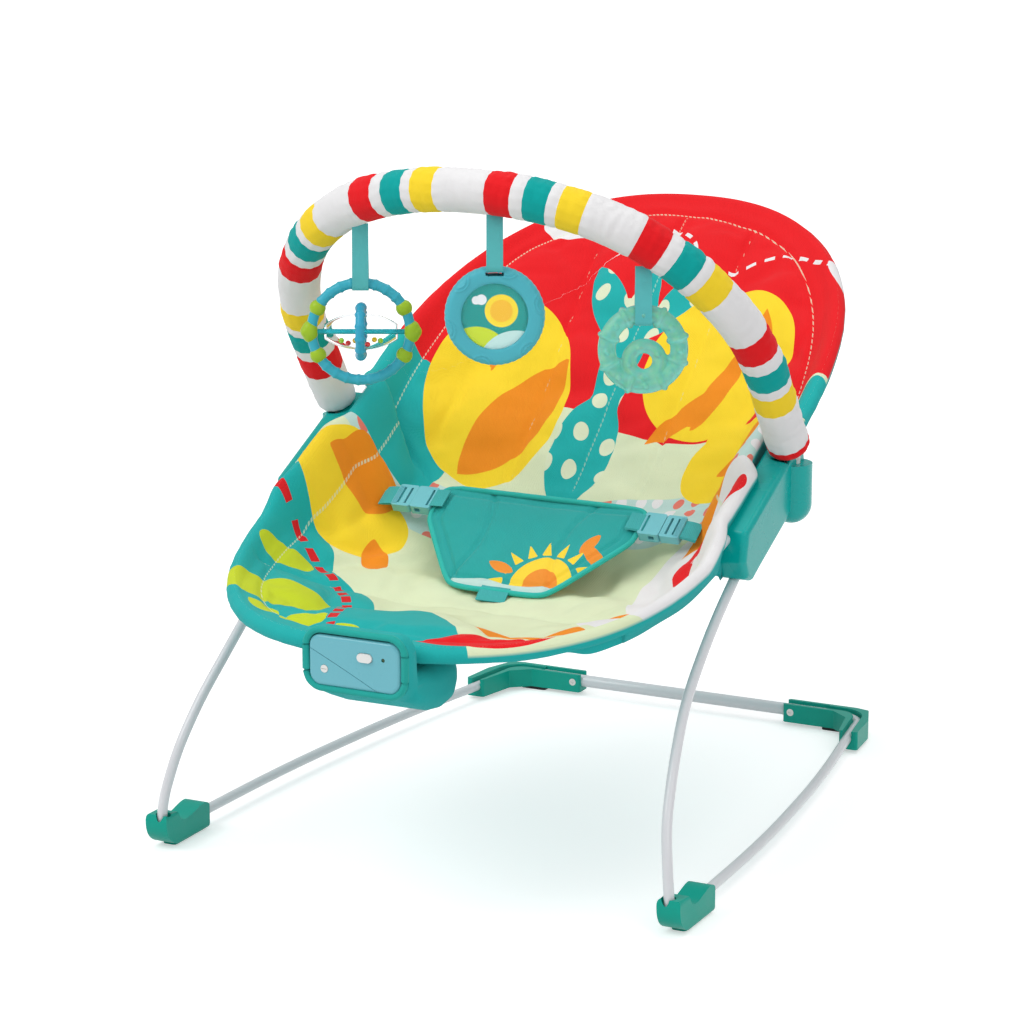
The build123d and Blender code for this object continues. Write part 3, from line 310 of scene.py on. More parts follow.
# ------------------------------------------------------------ materials
class Graph:
    """The node tree of a material or the world, built by short calls."""

    def __init__(self, name, kind="materials", shader="Principled BSDF"):
        self.owner = getattr(bpy.data, kind).new(name)
        self.owner.use_nodes = True
        self.tree = self.owner.node_tree
        self.shader = self.tree.nodes[shader]

    def add(self, kind, **settings):
        node = self.tree.nodes.new(kind)
        for key, value in settings.items():
            setattr(node, key, value)
        return node

    def link(self, out, into):
        self.tree.links.new(out, into)

    def value(self, socket, given):
        """Link an output to a socket, or set the socket to a number or colour."""
        if hasattr(given, "is_output"):
            self.link(given, socket)
        elif isinstance(given, (tuple, list)) and socket.type == "RGBA" and len(given) == 3:
            socket.default_value = (*given, 1)
        else:
            socket.default_value = given

    def math(self, operation, a, b=0.0, c=0.0):
        node = self.add("ShaderNodeMath", operation=operation)
        for socket, given in zip(node.inputs, (a, b, c)):
            self.value(socket, given)
        return node.outputs[0]

    def mix(self, share, a, b):
        """One colour over another; sockets 6, 7 and 2 are a Mix node's colour ones."""
        node = self.add("ShaderNodeMix", data_type="RGBA")
        self.value(node.inputs[0], share)
        self.value(node.inputs[6], a)
        self.value(node.inputs[7], b)
        return node.outputs[2]

    def coords(self):
        """Object coordinates: the seat's own frame, in metres."""
        return self.add("ShaderNodeTexCoord").outputs["Object"]

    def local(self, centre, turn):
        """Object coordinates moved and turned to a toy's own axes."""
        node = self.add("ShaderNodeMapping", vector_type="TEXTURE")
        self.link(self.coords(), node.inputs["Vector"])
        node.inputs["Location"].default_value = centre
        node.inputs["Rotation"].default_value = (0, 0, turn)
        return node.outputs[0]

    def split(self, vector):
        node = self.add("ShaderNodeSeparateXYZ")
        self.link(vector, node.inputs[0])
        return node.outputs

    def noise(self, vector, scale, detail=3.0, rough=0.5):
        node = self.add("ShaderNodeTexNoise")
        self.link(vector, node.inputs["Vector"])
        node.inputs["Scale"].default_value = scale
        node.inputs["Detail"].default_value = detail
        node.inputs["Roughness"].default_value = rough
        return node.outputs["Fac"]

    def attr(self, name):
        return self.add("ShaderNodeAttribute", attribute_name=name).outputs["Fac"]

    def inside(self, name):
        """1 where the signed shape kept as an attribute covers the cloth."""
        return self.math("GREATER_THAN", self.attr(name), 0.0)

    def within(self, distance, limit):
        """1 where a signed distance is nearer than a limit."""
        return self.math("LESS_THAN", self.math("ABSOLUTE", distance), limit)

    def distance(self, across, along):
        """Length of a way given by its two parts."""
        squares = self.math("ADD", self.math("MULTIPLY", across, across), self.math("MULTIPLY", along, along))
        return self.math("SQRT", squares)

    def bands(self, share, stops):
        """Colour ramp with hard joins: stops are (position, colour)."""
        ramp = self.add("ShaderNodeValToRGB")
        ramp.color_ramp.interpolation = "CONSTANT"
        elements = ramp.color_ramp.elements
        for k, (position, colour) in enumerate(stops):
            element = elements[k] if k < 2 else elements.new(position)
            element.position, element.color = position, (*colour, 1)
        self.link(share, ramp.inputs[0])
        return ramp.outputs[0]

    def bump(self, height, strength, distance, under=None):
        node = self.add("ShaderNodeBump")
        node.inputs["Strength"].default_value = strength
        node.inputs["Distance"].default_value = distance
        self.link(height, node.inputs["Height"])
        if under is not None:
            self.link(under, node.inputs["Normal"])
        return node.outputs[0]

    def set(self, **sockets):
        for key, given in sockets.items():
            self.value(self.shader.inputs[key.replace("_", " ")], given)
        return self.owner


def shade(graph, colour, vector, scale=60.0, depth=0.07):
    """A colour with slow, slight variation."""
    spread = graph.noise(vector, scale, 4.0)
    if isinstance(colour, tuple):
        return graph.mix(spread, tuple(c * (1 - 2 * depth) for c in colour), colour)
    factor = graph.math("MULTIPLY_ADD", spread, 2 * depth, 1 - 1.5 * depth)
    node = graph.add("ShaderNodeVectorMath", operation="SCALE")
    graph.link(colour, node.inputs[0])
    graph.link(factor, node.inputs["Scale"])
    return node.outputs[0]


def weave(graph, vector, thread, strength=0.35):
    """Plain weave: two crossed sets of threads, with a soft uneven hand over them."""
    x, y, z = graph.split(vector)
    turns = math.pi / thread
    warp = graph.math("SINE", graph.math("MULTIPLY", graph.math("ADD", x, z), turns))
    weft = graph.math("SINE", graph.math("MULTIPLY", graph.math("SUBTRACT", y, z), turns))
    threads = graph.bump(graph.math("MULTIPLY", warp, weft), strength, 0.0002)
    return graph.bump(graph.noise(vector, 900, 3.0, 0.6), 0.25, 0.0006, threads)


def cloth(graph, colour, vector, roughness, thread):
    """Matt woven cloth in a colour that is already shaded."""
    return graph.set(Base_Color=colour, Roughness=roughness, Sheen_Weight=0.05, Sheen_Roughness=0.5,
                     Specular_IOR_Level=0.2, Normal=weave(graph, vector, thread))


def fabric(name, colour, thread):
    graph = Graph(name)
    vector = graph.coords()
    return cloth(graph, shade(graph, colour, vector), vector, 0.85, thread)


def plastic(name, colour, roughness=0.3, grain=0.15, coat=0.0):
    """Moulded plastic with a faint grain and rubbed gloss."""
    graph = Graph(name)
    vector = graph.coords()
    rub = graph.noise(vector, 35, 4.0)
    rough = graph.math("MULTIPLY_ADD", rub, 0.16, roughness - 0.08)
    fine = graph.bump(graph.noise(vector, 1600, 2.0), grain, 0.0002)
    return graph.set(Base_Color=shade(graph, colour, vector, 25, 0.03), Roughness=rough, Normal=fine,
                     Coat_Weight=coat, Coat_Roughness=0.12, IOR=1.32)


def metal(name, colour, roughness):
    graph = Graph(name)
    vector = graph.coords()
    brush = graph.noise(vector, 900, 2.0)
    rough = graph.math("MULTIPLY_ADD", brush, 0.2, roughness - 0.1)
    return graph.set(Base_Color=shade(graph, colour, vector, 80, 0.05), Metallic=1.0, Roughness=rough)


def painted_wire(name, colour):
    graph = Graph(name)
    vector = graph.coords()
    peel = graph.bump(graph.noise(vector, 260, 2.0), 0.08, 0.0004)
    rough = graph.math("MULTIPLY_ADD", graph.noise(vector, 60, 3.0), 0.12, 0.26)
    return graph.set(Base_Color=shade(graph, colour, vector, 18, 0.03), Roughness=rough, Normal=peel,
                     Coat_Weight=0.4, Coat_Roughness=0.1)


def clear(name, colour, roughness, transmission, ior):
    graph = Graph(name)
    vector = graph.coords()
    rough = graph.math("MULTIPLY_ADD", graph.noise(vector, 90, 3.0), 0.06, roughness)
    return graph.set(Base_Color=colour, Roughness=rough, Transmission_Weight=transmission, IOR=ior)


def rubber(name, colour):
    graph = Graph(name)
    vector = graph.coords()
    grip = graph.bump(graph.noise(vector, 700, 3.0), 0.4, 0.0005)
    return graph.set(Base_Color=shade(graph, colour, vector, 40, 0.1), Roughness=0.75, Normal=grip)


def colours():
    return bpy.context.scene.bouncer_colours


def tone(name):
    return tuple(getattr(colours(), name))


def sizes():
    return bpy.context.scene.bouncer_sizes


# ------------------------------------------------------------ print shapes in millimetres, negative inside
def turned(x, y, cx, cy, turn):
    """Places seen from a centre, along directions turned by some degrees."""
    c, s = math.cos(math.radians(turn)), math.sin(math.radians(turn))
    return (x - cx) * c + (y - cy) * s, -(x - cx) * s + (y - cy) * c


def blob(x, y, cx, cy, rx, ry, turn=0.0):
    """Ellipse."""
    u, v = turned(x, y, cx, cy, turn)
    length = np.sqrt((u / rx) ** 2 + (v / ry) ** 2)
    slope = np.sqrt((u / rx ** 2) ** 2 + (v / ry ** 2) ** 2) + 1e-6
    return length * (length - 1) / slope


def leaf(x, y, cx, cy, long, wide, turn):
    """Pointed leaf: where two discs overlap."""
    u, v = turned(x, y, cx, cy, turn)
    big = (long ** 2 + wide ** 2) / (2 * wide)
    above = np.hypot(u, v + big - wide) - big
    below = np.hypot(u, v - big + wide) - big
    return np.maximum(above, below)


def hill(x, y, height, swell, width, phase):
    """Everything below a rolling line."""
    return (y - height - swell * np.sin((x - phase) / width)) * 0.9


def rays(x, y, cx, cy, inner, outer, count, share):
    """Pointed rays round a centre."""
    angle = np.arctan2(y - cy, x - cx)
    radius = np.hypot(x - cx, y - cy)
    step = 2 * math.pi / count
    off = np.abs((angle + step / 2) % step - step / 2) * radius
    half = share * step / 2 * np.clip((outer - radius) / (outer - inner), 0, 1) * inner * 1.3
    return np.maximum(np.maximum(inner - radius, radius - outer), off - half)


def drawn(x, y, shapes):
    """All of a list of (form, its numbers) as one signed shape."""
    return np.minimum.reduce([form(x, y, *numbers) for form, *numbers in shapes])


def rim_half(y):
    """Half the width between the rim's sides."""
    front = np.clip((HUB_FRONT_Y - y) / FRONT_REACH, 0, 1)
    back = np.clip((y - BACK_CENTRE_Y) / BACK_REACH, 0, 1)
    narrowed = RIM_X * (1 - front ** FRONT_POWER) ** (1 / FRONT_POWER)
    return narrowed * (1 - back ** BACK_POWER) ** (1 / BACK_POWER)


def rim_height(y):
    ahead = np.clip((HUB_FRONT_Y - y) / FRONT_REACH, 0, 1)
    front = RIM_FOOT_Z + RIM_FOOT_RISE * (1 - ahead) ** 2
    back = RIM_BACK_Z + RIM_BACK_SLOPE * (y - BACK_CENTRE_Y)
    beside = RIM_HUB_FRONT_Z + (y - HUB_FRONT_Y) / HUB_RUN * (RIM_HUB_BACK_Z - RIM_HUB_FRONT_Z)
    return np.where(y < HUB_FRONT_Y, front, np.where(y > HUB_BACK_Y, back, beside))


def hub_pull(y):
    """The cover's edge draws in a little over each hub's inner half, and more beside the toy bar."""
    pull = HUB_PULL * smoothstep(*HUB_PULL_START, y) + BAR_PULL * smoothstep(*BAR_PULL_START, y)
    return pull * (1 - smoothstep(*PULL_END, y))


def outline_radius(angle):
    """Distance from the middle of the seat to the rim, for each direction seen from above."""
    dx, dy = np.abs(np.cos(angle)), np.sin(angle)
    low, high = np.zeros_like(angle), np.full_like(angle, 0.40)
    for _ in range(40):
        middle = (low + high) / 2
        y = SEAT_MIDDLE_Y + middle * dy
        inside = (middle * dx < rim_half(y) - hub_pull(y)) & (y < HEAD_END_Y) & (y > FOOT_END_Y)
        low, high = np.where(inside, middle, low), np.where(inside, high, middle)
    return low


def edge_height(y):
    """Height of the line inside the hem: along the wire, and up over the hub's inner half."""
    over_hub = smoothstep(*CLIMB_START, y) * (1 - smoothstep(*CLIMB_END, y))
    return rim_height(y) + HUB_CLIMB * over_hub


def closer_at_ends(count):
    """Even steps from -1 to 1, drawn a little closer towards both ends."""
    even = np.linspace(-1, 1, count)
    return 0.55 * even + 0.45 * (1.5 * even - 0.5 * even ** 3)


def cover_grid(across, along):
    """The cover's top seen from above, spread from a square onto the rim's outline.

    Returns each point's x and y, its way to the edge, and the edge's y on that way.
    """
    u, v = np.meshgrid(closer_at_ends(across), closer_at_ends(along), indexing="ij")
    px, py = u * np.sqrt(1 - v * v / 2), v * np.sqrt(1 - u * u / 2)
    radius = np.minimum(np.hypot(px, py), 1.0)
    longer_than_wide = 1.6
    angle = np.arctan2(py * longer_than_wide, px)
    reach = outline_radius(angle)
    x = radius * reach * np.cos(angle)
    y = SEAT_MIDDLE_Y + radius * reach * np.sin(angle)
    return x, y, (1 - radius) * reach, SEAT_MIDDLE_Y + reach * np.sin(angle)


def relaxed(field, rounds):
    """The grid's values evened out with their neighbours', its edge left alone."""
    field = field.copy()
    for _ in range(rounds):
        beside = (field[:-2, 1:-1] + field[2:, 1:-1] + field[1:-1, :-2] + field[1:-1, 2:]) / 4
        field[1:-1, 1:-1] = (field[1:-1, 1:-1] + beside) / 2
    return field


def hem_height(inward, edge_y):
    """The padding's roll over the rim wire: round on top, then down its inner side."""
    turn, slope = 0.0143, 2.2
    round_part = np.minimum(inward, turn) ** 2 / (2 * RIM_ROLL)
    fall = np.where(inward < turn, round_part, round_part + slope * (inward - turn))
    return edge_height(edge_y) + RIM_ROLL - fall


def cover_height(x, y):
    """Height of the pad solid's top face under each plan position, evened out over a few millimetres."""
    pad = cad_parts["seat_pad"]
    tree = BVHTree.FromObject(pad, bpy.context.evaluated_depsgraph_get())
    height = np.empty_like(x)
    for i, j in np.ndindex(*x.shape):
        for share in (1.0, 0.98, 0.95, 0.9):
            hit = tree.ray_cast(Vector((x[i, j] * share, y[i, j], 0.8)), Vector((0, 0, -1)))[0]
            if hit is not None:
                break
        height[i, j] = hit.z if hit is not None else rim_height(y[i, j]) + RIM_ROLL
    return relaxed(height, 4)


# the print, in millimetres seen from above: a day-time garden of hills, sun, leaves, ovals and dots
PLANT = [(leaf, -2, 172, 74, 17, 90), (leaf, -30, 206, 40, 14, 128), (leaf, 30, 212, 40, 15, 52),
         (blob, -6, 96, 26, 44)]
PRINT = {
    "yellow": [(blob, 84, 168, 62, 58), (blob, -98, 128, 62, 74, 18), (blob, -150, -28, 44, 36, 30),
               (blob, 128, 88, 40, 34, 10)],
    "orange": [(leaf, -74, 112, 58, 25, 62), (leaf, -118, 176, 30, 9, 100), (leaf, 70, 128, 34, 9, 40),
               (leaf, 92, 150, 36, 9, 70), (leaf, 116, 176, 34, 9, 100), (leaf, 150, 22, 40, 12, 62),
               (blob, 96, -212, 44, 24, 8), (leaf, -152, -2, 30, 13, 40), (leaf, -118, -52, 26, 11, 120),
               (leaf, 140, 92, 26, 9, 30), (blob, 118, -128, 30, 16, 40)],
    "teal": [*PLANT, (blob, -170, 70, 60, 60), (blob, 168, 84, 48, 26, 50)],
    "lime": [(blob, -122, -196, 48, 27, 12), (blob, -64, -262, 20, 11, 6), (blob, -20, -276, 16, 7, -20),
             (blob, -160, -118, 22, 13, 40), (leaf, -108, -246, 22, 8, -30)],
    "white_wing": [(blob, 176, -66, 62, 96, 20), (blob, 150, -150, 40, 40)],
    "red_patch": [(leaf, 84, -262, 52, 20, 24), (blob, 168, -26, 20, 16, 30), (leaf, 150, -52, 20, 7, 100)],
    "cloud": [(blob, -96, 268, 26, 9), (blob, -84, 276, 14, 10), (blob, 166, 236, 26, 8, -40),
              (blob, 168, -24, 8, 7)],
    "plant": PLANT,
}
FRONT_CORNER = [(blob, -168, -112, 40, 60, 20), (blob, -150, -196, 96, 92, 25)]


def print_layers(x, y):
    """The print's signed shapes at each place."""
    layers = {name: drawn(x, y, shapes) for name, shapes in PRINT.items()}
    layers["red"] = hill(x, -y, -118, 10, 42, 8)
    layers["band"] = np.abs(y - 30 - 10 * np.sin(x / 60)) - 24
    shore = hill(x, y, -196, 14, 38, -60) + np.maximum(x, 0) * 0.9
    layers["front_teal"] = np.minimum(shore, drawn(x, y, FRONT_CORNER))
    return layers


def trail(x, y, points):
    """Distance from a line, signed by its side, and how far along the line each place is."""
    path = np.array([(p.x, p.y) for p in rounded_path([(a, b, 0) for a, b in points], 3)])
    best = np.full(x.shape, 1e9)
    run = np.zeros(x.shape)
    travelled = 0.0
    for a, b in zip(path, path[1:]):
        d = b - a
        length = math.hypot(*d)
        share = np.clip(((x - a[0]) * d[0] + (y - a[1]) * d[1]) / max(length ** 2, 1e-9), 0, 1)
        away = np.hypot(x - a[0] - share * d[0], y - a[1] - share * d[1])
        side = np.sign(d[0] * (y - a[1]) - d[1] * (x - a[0]))
        nearer = away < np.abs(best)
        best = np.where(nearer, away * np.where(side == 0, 1, side), best)
        run = np.where(nearer, travelled + share * length, run)
        travelled += length
    return best, run


# stitching and dashed lines, in millimetres: the way in from the edge, and paths seen from above
HEM_STITCH = 22.0
SEAMS = [[(-58, 70), (-62, 180), (-66, 286)], [(0, 66), (0, 180), (0, 292)], [(58, 70), (62, 180), (66, 286)],
         [(-168, -150), (-120, -118), (-60, -106), (0, -104), (60, -106), (120, -118), (168, -150)],
         [(-110, 52), (0, 58), (110, 52)]]
TRAILS = {
    "white_trail": [(-40, 250), (-10, 282), (30, 262), (22, 236), (58, 240), (108, 262), (150, 246)],
    "red_trail": [(-190, -78), (-152, -88), (-104, -128), (-64, -190), (-42, -250), (-30, -306)],
}
# from the cover's top down to its underside, in metres
COVER_THICKNESS = 0.0113
# a way, in millimetres, that no stitch reaches: for the points that aren't on the top
BEYOND_STITCHES = 99.0


def swell(top, pinned, steps=14):
    """Blow the quilted top up between its seams by a cloth simulation, and return the new points."""
    activate(top)
    group = top.vertex_groups.new(name="sewn")
    for index in np.nonzero(pinned > 0.02)[0]:
        group.add([int(index)], float(pinned[index]), "REPLACE")
    cloth = top.modifiers.new("Quilt", "CLOTH")
    settings = cloth.settings
    settings.quality = 6
    settings.mass = 0.15
    settings.tension_stiffness = 12
    settings.compression_stiffness = 12
    settings.shear_stiffness = 5
    settings.bending_stiffness = 0.6
    settings.shrink_min = -0.035
    settings.use_pressure = True
    settings.uniform_pressure_force = 4.0
    settings.vertex_group_mass = "sewn"
    settings.effector_weights.gravity = 0
    cloth.collision_settings.use_collision = False
    cloth.point_cache.frame_end = steps + 2
    for step in range(1, steps + 1):
        bpy.context.scene.frame_set(step)
    activate(top)
    bpy.ops.object.modifier_apply(modifier=cloth.name)
    bpy.context.scene.frame_set(1)
    points = np.empty(len(top.data.vertices) * 3)
    top.data.vertices.foreach_get("co", points)
    return points.reshape(-1, 3)


def under_buckles(x, y):
    """How free the quilting is to swell: 1 in most places, near 0 under the buckles and where they slide."""
    outwards, half_x, half_y = 1.06, 0.034, 0.024
    free = np.ones_like(x)
    for side in ("left", "right"):
        low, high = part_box(f"buckle_plug_{side}")
        middle = (low + high) / 2
        free -= np.exp(-((x - middle.x * outwards) / half_x) ** 2 - ((y - middle.y) / half_y) ** 2)
    return np.clip(free, 0, 1)


def quilted(points, edge, groove):
    """The cover's top, swollen between its seams, drawn in along them, and lightly creased.

    The ways to the edge and to the nearest stitching are in millimetres.
    """
    stitch_depth, stitch_width = 0.0026, 3.0
    wide_crease, fine_crease = 0.0022, 0.0005
    flat = points.reshape(-1, 3)
    puff = sizes().pad_puff
    sewn = np.maximum(np.clip(1.3 - groove / 3.0, 0, 1), np.clip(1.6 - edge / 16, 0, 1))
    top = from_grid("cover_top", points)
    shift = swell(top, sewn.ravel()) - flat
    bpy.data.objects.remove(top)
    shift *= np.minimum(1, puff / np.maximum(np.linalg.norm(shift, axis=1, keepdims=True), 1e-9))
    shift = np.stack([relaxed(shift[:, k].reshape(edge.shape), 5) for k in range(3)], -1).reshape(-1, 3)
    calm = under_buckles(points[..., 0], points[..., 1])
    moved = flat + shift * calm.reshape(-1, 1)
    moved[:, 2] -= (stitch_depth * np.exp(-(groove / stitch_width) ** 2) * np.clip(edge / 9, 0, 1)).ravel()
    for k, (x, y, z) in enumerate(moved.copy()):
        crease = wobble(x, y, z, 24) * wide_crease + wobble(x + 3, y * 0.5, z, 60) * fine_crease
        moved[k, 2] += crease * min(1.0, edge.flat[k] / 20) * calm.flat[k]
    return moved


def hem_rings(ring):
    """Rings of points down the outside of the rolled hem, from the cover's edge to its underside."""
    tangent = np.roll(ring, -1, 0) - np.roll(ring, 1, 0)
    normal = np.stack([tangent[:, 1], -tangent[:, 0]], 1)
    normal /= np.linalg.norm(normal, axis=1, keepdims=True)
    if np.mean(np.sum(normal * (ring - ring.mean(0)), 1)) < 0:
        normal = -normal
    height = edge_height(ring[:, 1])
    reach = np.array([RIM_ROLL * (1 + 0.05 * wobble(x, y, 0.0, 95)) for x, y in ring])
    rings = []
    for angle in (66, 44, 22, 0, -22, -44):
        out, up = math.cos(math.radians(angle)), math.sin(math.radians(angle))
        rings.append(np.column_stack([ring + normal * reach[:, None] * out, height + reach * up]))
    return rings


def build_cover():
    across, along = ((151, 221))
    x, y, inward, edge_y = cover_grid(across, along)
    pad = cover_height(x, y)
    roll = hem_height(inward, edge_y)
    blend = 0.002
    z = relaxed((pad + roll + np.sqrt((pad - roll) ** 2 + blend ** 2)) / 2, 1)
    points = np.stack([x, y, z], -1)
    edge = inward / MM
    groove = np.abs(edge - HEM_STITCH)
    for seam in SEAMS:
        groove = np.minimum(groove, np.abs(trail(x / MM, y / MM, seam)[0]))
    top = quilted(points, edge, groove)

    loop = ([(i, 0) for i in range(across)] + [(across - 1, j) for j in range(1, along)]
            + [(i, along - 1) for i in range(across - 2, -1, -1)] + [(0, j) for j in range(along - 2, 0, -1)])
    loop = tuple(np.transpose(loop))
    rings = hem_rings(np.stack([x[loop], y[loop]], 1))
    under = points.copy()
    under[..., 2] = np.minimum(relaxed(np.minimum(pad, z), 14), z) - COVER_THICKNESS
    under = under.reshape(-1, 3)
    under[:, 2] += [0.0015 * wobble(*p, 22) for p in under]

    # the points' numbers: the top, the hem's rings, then the underside
    count, round_edge = across * along, len(loop[0])
    total = 2 * count + len(rings) * round_edge
    upper = np.arange(count).reshape(across, along)
    lower = upper + total - count
    hem = [count + k * round_edge + np.arange(round_edge) for k in range(len(rings))]
    rows = [upper[loop], *hem, lower[loop]]
    faces = [grid_faces(upper)]
    for before, after in zip(rows, rows[1:]):
        faces.append(np.stack([before, after, np.roll(after, -1), np.roll(before, -1)], 1))
    faces.append(grid_faces(lower)[:, [0, 3, 2, 1]])
    plan = np.concatenate([top, *rings, under])
    cover = from_faces("seat_cover", plan, np.concatenate(faces))

    # the print lies as drawn on the cloth before it swells
    plan[:count, :2] = points.reshape(-1, 3)[:, :2]
    plan_x, plan_y = plan[:, 0] / MM, plan[:, 1] / MM
    for name, values in print_layers(plan_x, plan_y).items():
        attribute(cover, f"print_{name}", -values)
    for name, path in TRAILS.items():
        away, run = trail(plan_x, plan_y, path)
        attribute(cover, f"{name}_away", away)
        attribute(cover, f"{name}_run", run)
    printed_rings = 3
    attribute(cover, "underside", np.arange(total) >= count + printed_rings * round_edge)
    for name, values in (("edge", edge), ("groove", groove)):
        attribute(cover, name, np.concatenate([values.ravel(), np.full(total - count, BEYOND_STITCHES)]))
    outward(cover)
    smooth(cover)
    finish_piece(cover, "seat", cover_material(), ("seat_pad", "seat_sling"))


def cover_material():
    graph = Graph("Printed cover")
    place_on = graph.coords()
    x, y, _ = graph.split(place_on)

    def inside(name):
        return graph.inside(f"print_{name}")

    def dots(scale, size, seed):
        node = graph.add("ShaderNodeTexVoronoi", feature="F1", voronoi_dimensions="2D")
        shifted = graph.add("ShaderNodeMapping")
        graph.link(place_on, shifted.inputs["Vector"])
        shifted.inputs["Location"].default_value = (seed, seed * 0.7, 0)
        graph.link(shifted.outputs[0], node.inputs["Vector"])
        node.inputs["Scale"].default_value = scale
        node.inputs["Randomness"].default_value = 0.35
        pick = graph.add("ShaderNodeSeparateColor")
        graph.link(node.outputs["Color"], pick.inputs[0])
        return graph.math("LESS_THAN", node.outputs["Distance"], size), pick.outputs[0]

    def dashes(name, width, repeat, share):
        near = graph.within(graph.attr(f"{name}_away"), width)
        turn = graph.math("FRACT", graph.math("DIVIDE", graph.attr(f"{name}_run"), repeat))
        return graph.math("MULTIPLY", near, graph.math("LESS_THAN", turn, share))

    # ground, then each colour of the print over the last
    hue = graph.mix(graph.math("MULTIPLY", graph.noise(place_on, 9, 2.0), 0.6), tone("cream"), tone("lime"))
    colour = graph.mix(0.78, hue, tone("cream"))
    colour = graph.mix(inside("white_wing"), colour, tone("white"))
    colour = graph.mix(inside("band"), colour, tone("aqua"))
    spots, pick = dots(62, 0.28, 0.31)
    motif = graph.mix(graph.math("GREATER_THAN", pick, 0.5), tone("white"), linear((238, 128, 112)))
    colour = graph.mix(graph.math("MULTIPLY", spots, inside("band")), colour, motif)
    for name, over in (("front_teal", "teal"), ("red", "red"), ("teal", "teal")):
        colour = graph.mix(inside(name), colour, tone(over))
    pale, _ = dots(38, 0.24, 0.12)
    colour = graph.mix(graph.math("MULTIPLY", pale, inside("plant")), colour, tone("cream"))
    for name, over in (("yellow", "yellow"), ("orange", "orange"), ("lime", "lime"), ("red_patch", "red"),
                       ("cloud", "white")):
        colour = graph.mix(inside(name), colour, tone(over))

    # dashed lines, the plain underside, and the hem's and the seams' stitches
    colour = graph.mix(dashes("white_trail", 1.5, 15.0, 0.55), colour, tone("white"))
    colour = graph.mix(graph.within(graph.attr("red_trail_away"), 4.8), colour, tone("teal"))
    colour = graph.mix(dashes("red_trail", 3.6, 17.0, 0.68), colour, linear((222, 30, 36)))
    colour = graph.mix(graph.attr("underside"), colour, tone("teal"))
    stitches_per_metre, share_of_thread = 260, 0.62
    along = graph.math("FRACT", graph.math("MULTIPLY", graph.math("ADD", x, y), stitches_per_metre))
    stitch = graph.math("LESS_THAN", along, share_of_thread)
    hem_line = graph.within(graph.math("SUBTRACT", graph.attr("edge"), HEM_STITCH), 0.55)
    seam_line = graph.math("LESS_THAN", graph.attr("groove"), 0.6)
    for line, strength in ((hem_line, 0.6), (seam_line, 0.35)):
        share = graph.math("MULTIPLY", graph.math("MULTIPLY", line, stitch), strength)
        colour = graph.mix(share, colour, tone("cream"))
    return cloth(graph, shade(graph, colour, place_on, 40, 0.05), place_on, 0.82, 0.0008)


# ------------------------------------------------------------ toy bar sleeve
def toy_plane(x, along):
    """Point in the toy bar's leaning plane, from the height of its feet."""
    return Vector((x, TOY_BASE.y - along * math.sin(TOY_LEAN), TOY_BASE.z + along * math.cos(TOY_LEAN)))


def sleeve_line(steps=620):
    """Evenly spaced points along the toy bar, from the right side's end (-X) over the arch to the other."""
    straight = np.linspace(SLEEVE_START, TOY_LEG, 60)
    rough = [toy_plane(-TOY_BASE.x, a) for a in straight]
    for angle in np.linspace(180, 0, 900)[1:-1]:
        c, s = math.cos(math.radians(angle)), math.sin(math.radians(angle))
        rough.append(toy_plane(math.copysign(abs(c) ** (2 / TOY_POWER), c) * TOY_BASE.x,
                               TOY_LEG + TOY_RISE * abs(s) ** (2 / TOY_POWER)))
    rough += [toy_plane(TOY_BASE.x, a) for a in np.linspace(TOY_LEG, SLEEVE_START, 60)]
    rough = np.array(rough)
    run = np.concatenate([[0], np.cumsum(np.linalg.norm(np.diff(rough, axis=0), axis=1))])
    even = np.linspace(0, run[-1], steps)
    return np.stack([np.interp(even, run, rough[:, k]) for k in range(3)], 1), even


STRIPES = (("red", 0.020), ("white", 0.010), ("deep_teal", 0.018), ("white", 0.008), ("yellow", 0.019),
           ("white", 0.0422))
FIRST_RED_MIDDLE = 0.0513


def stripe_edges():
    """Where the stripes' sewn joins lie, counted along the sleeve from a red stripe's start, and the repeat."""
    edges, run = [], 0.0
    for _, width in STRIPES:
        edges.append(run)
        run += width
    return edges, run


SEAM_PINCH, SEAM_WIDTH = 0.0006, 0.0016
END_TUCK, END_WIDTH = 0.0035, 0.0022
GATHERS, GATHER_WIDTH, GATHER_COUNT = 0.00028, 0.007, 13
INNER_FOLDS, SLACK = 0.0008, 0.0008


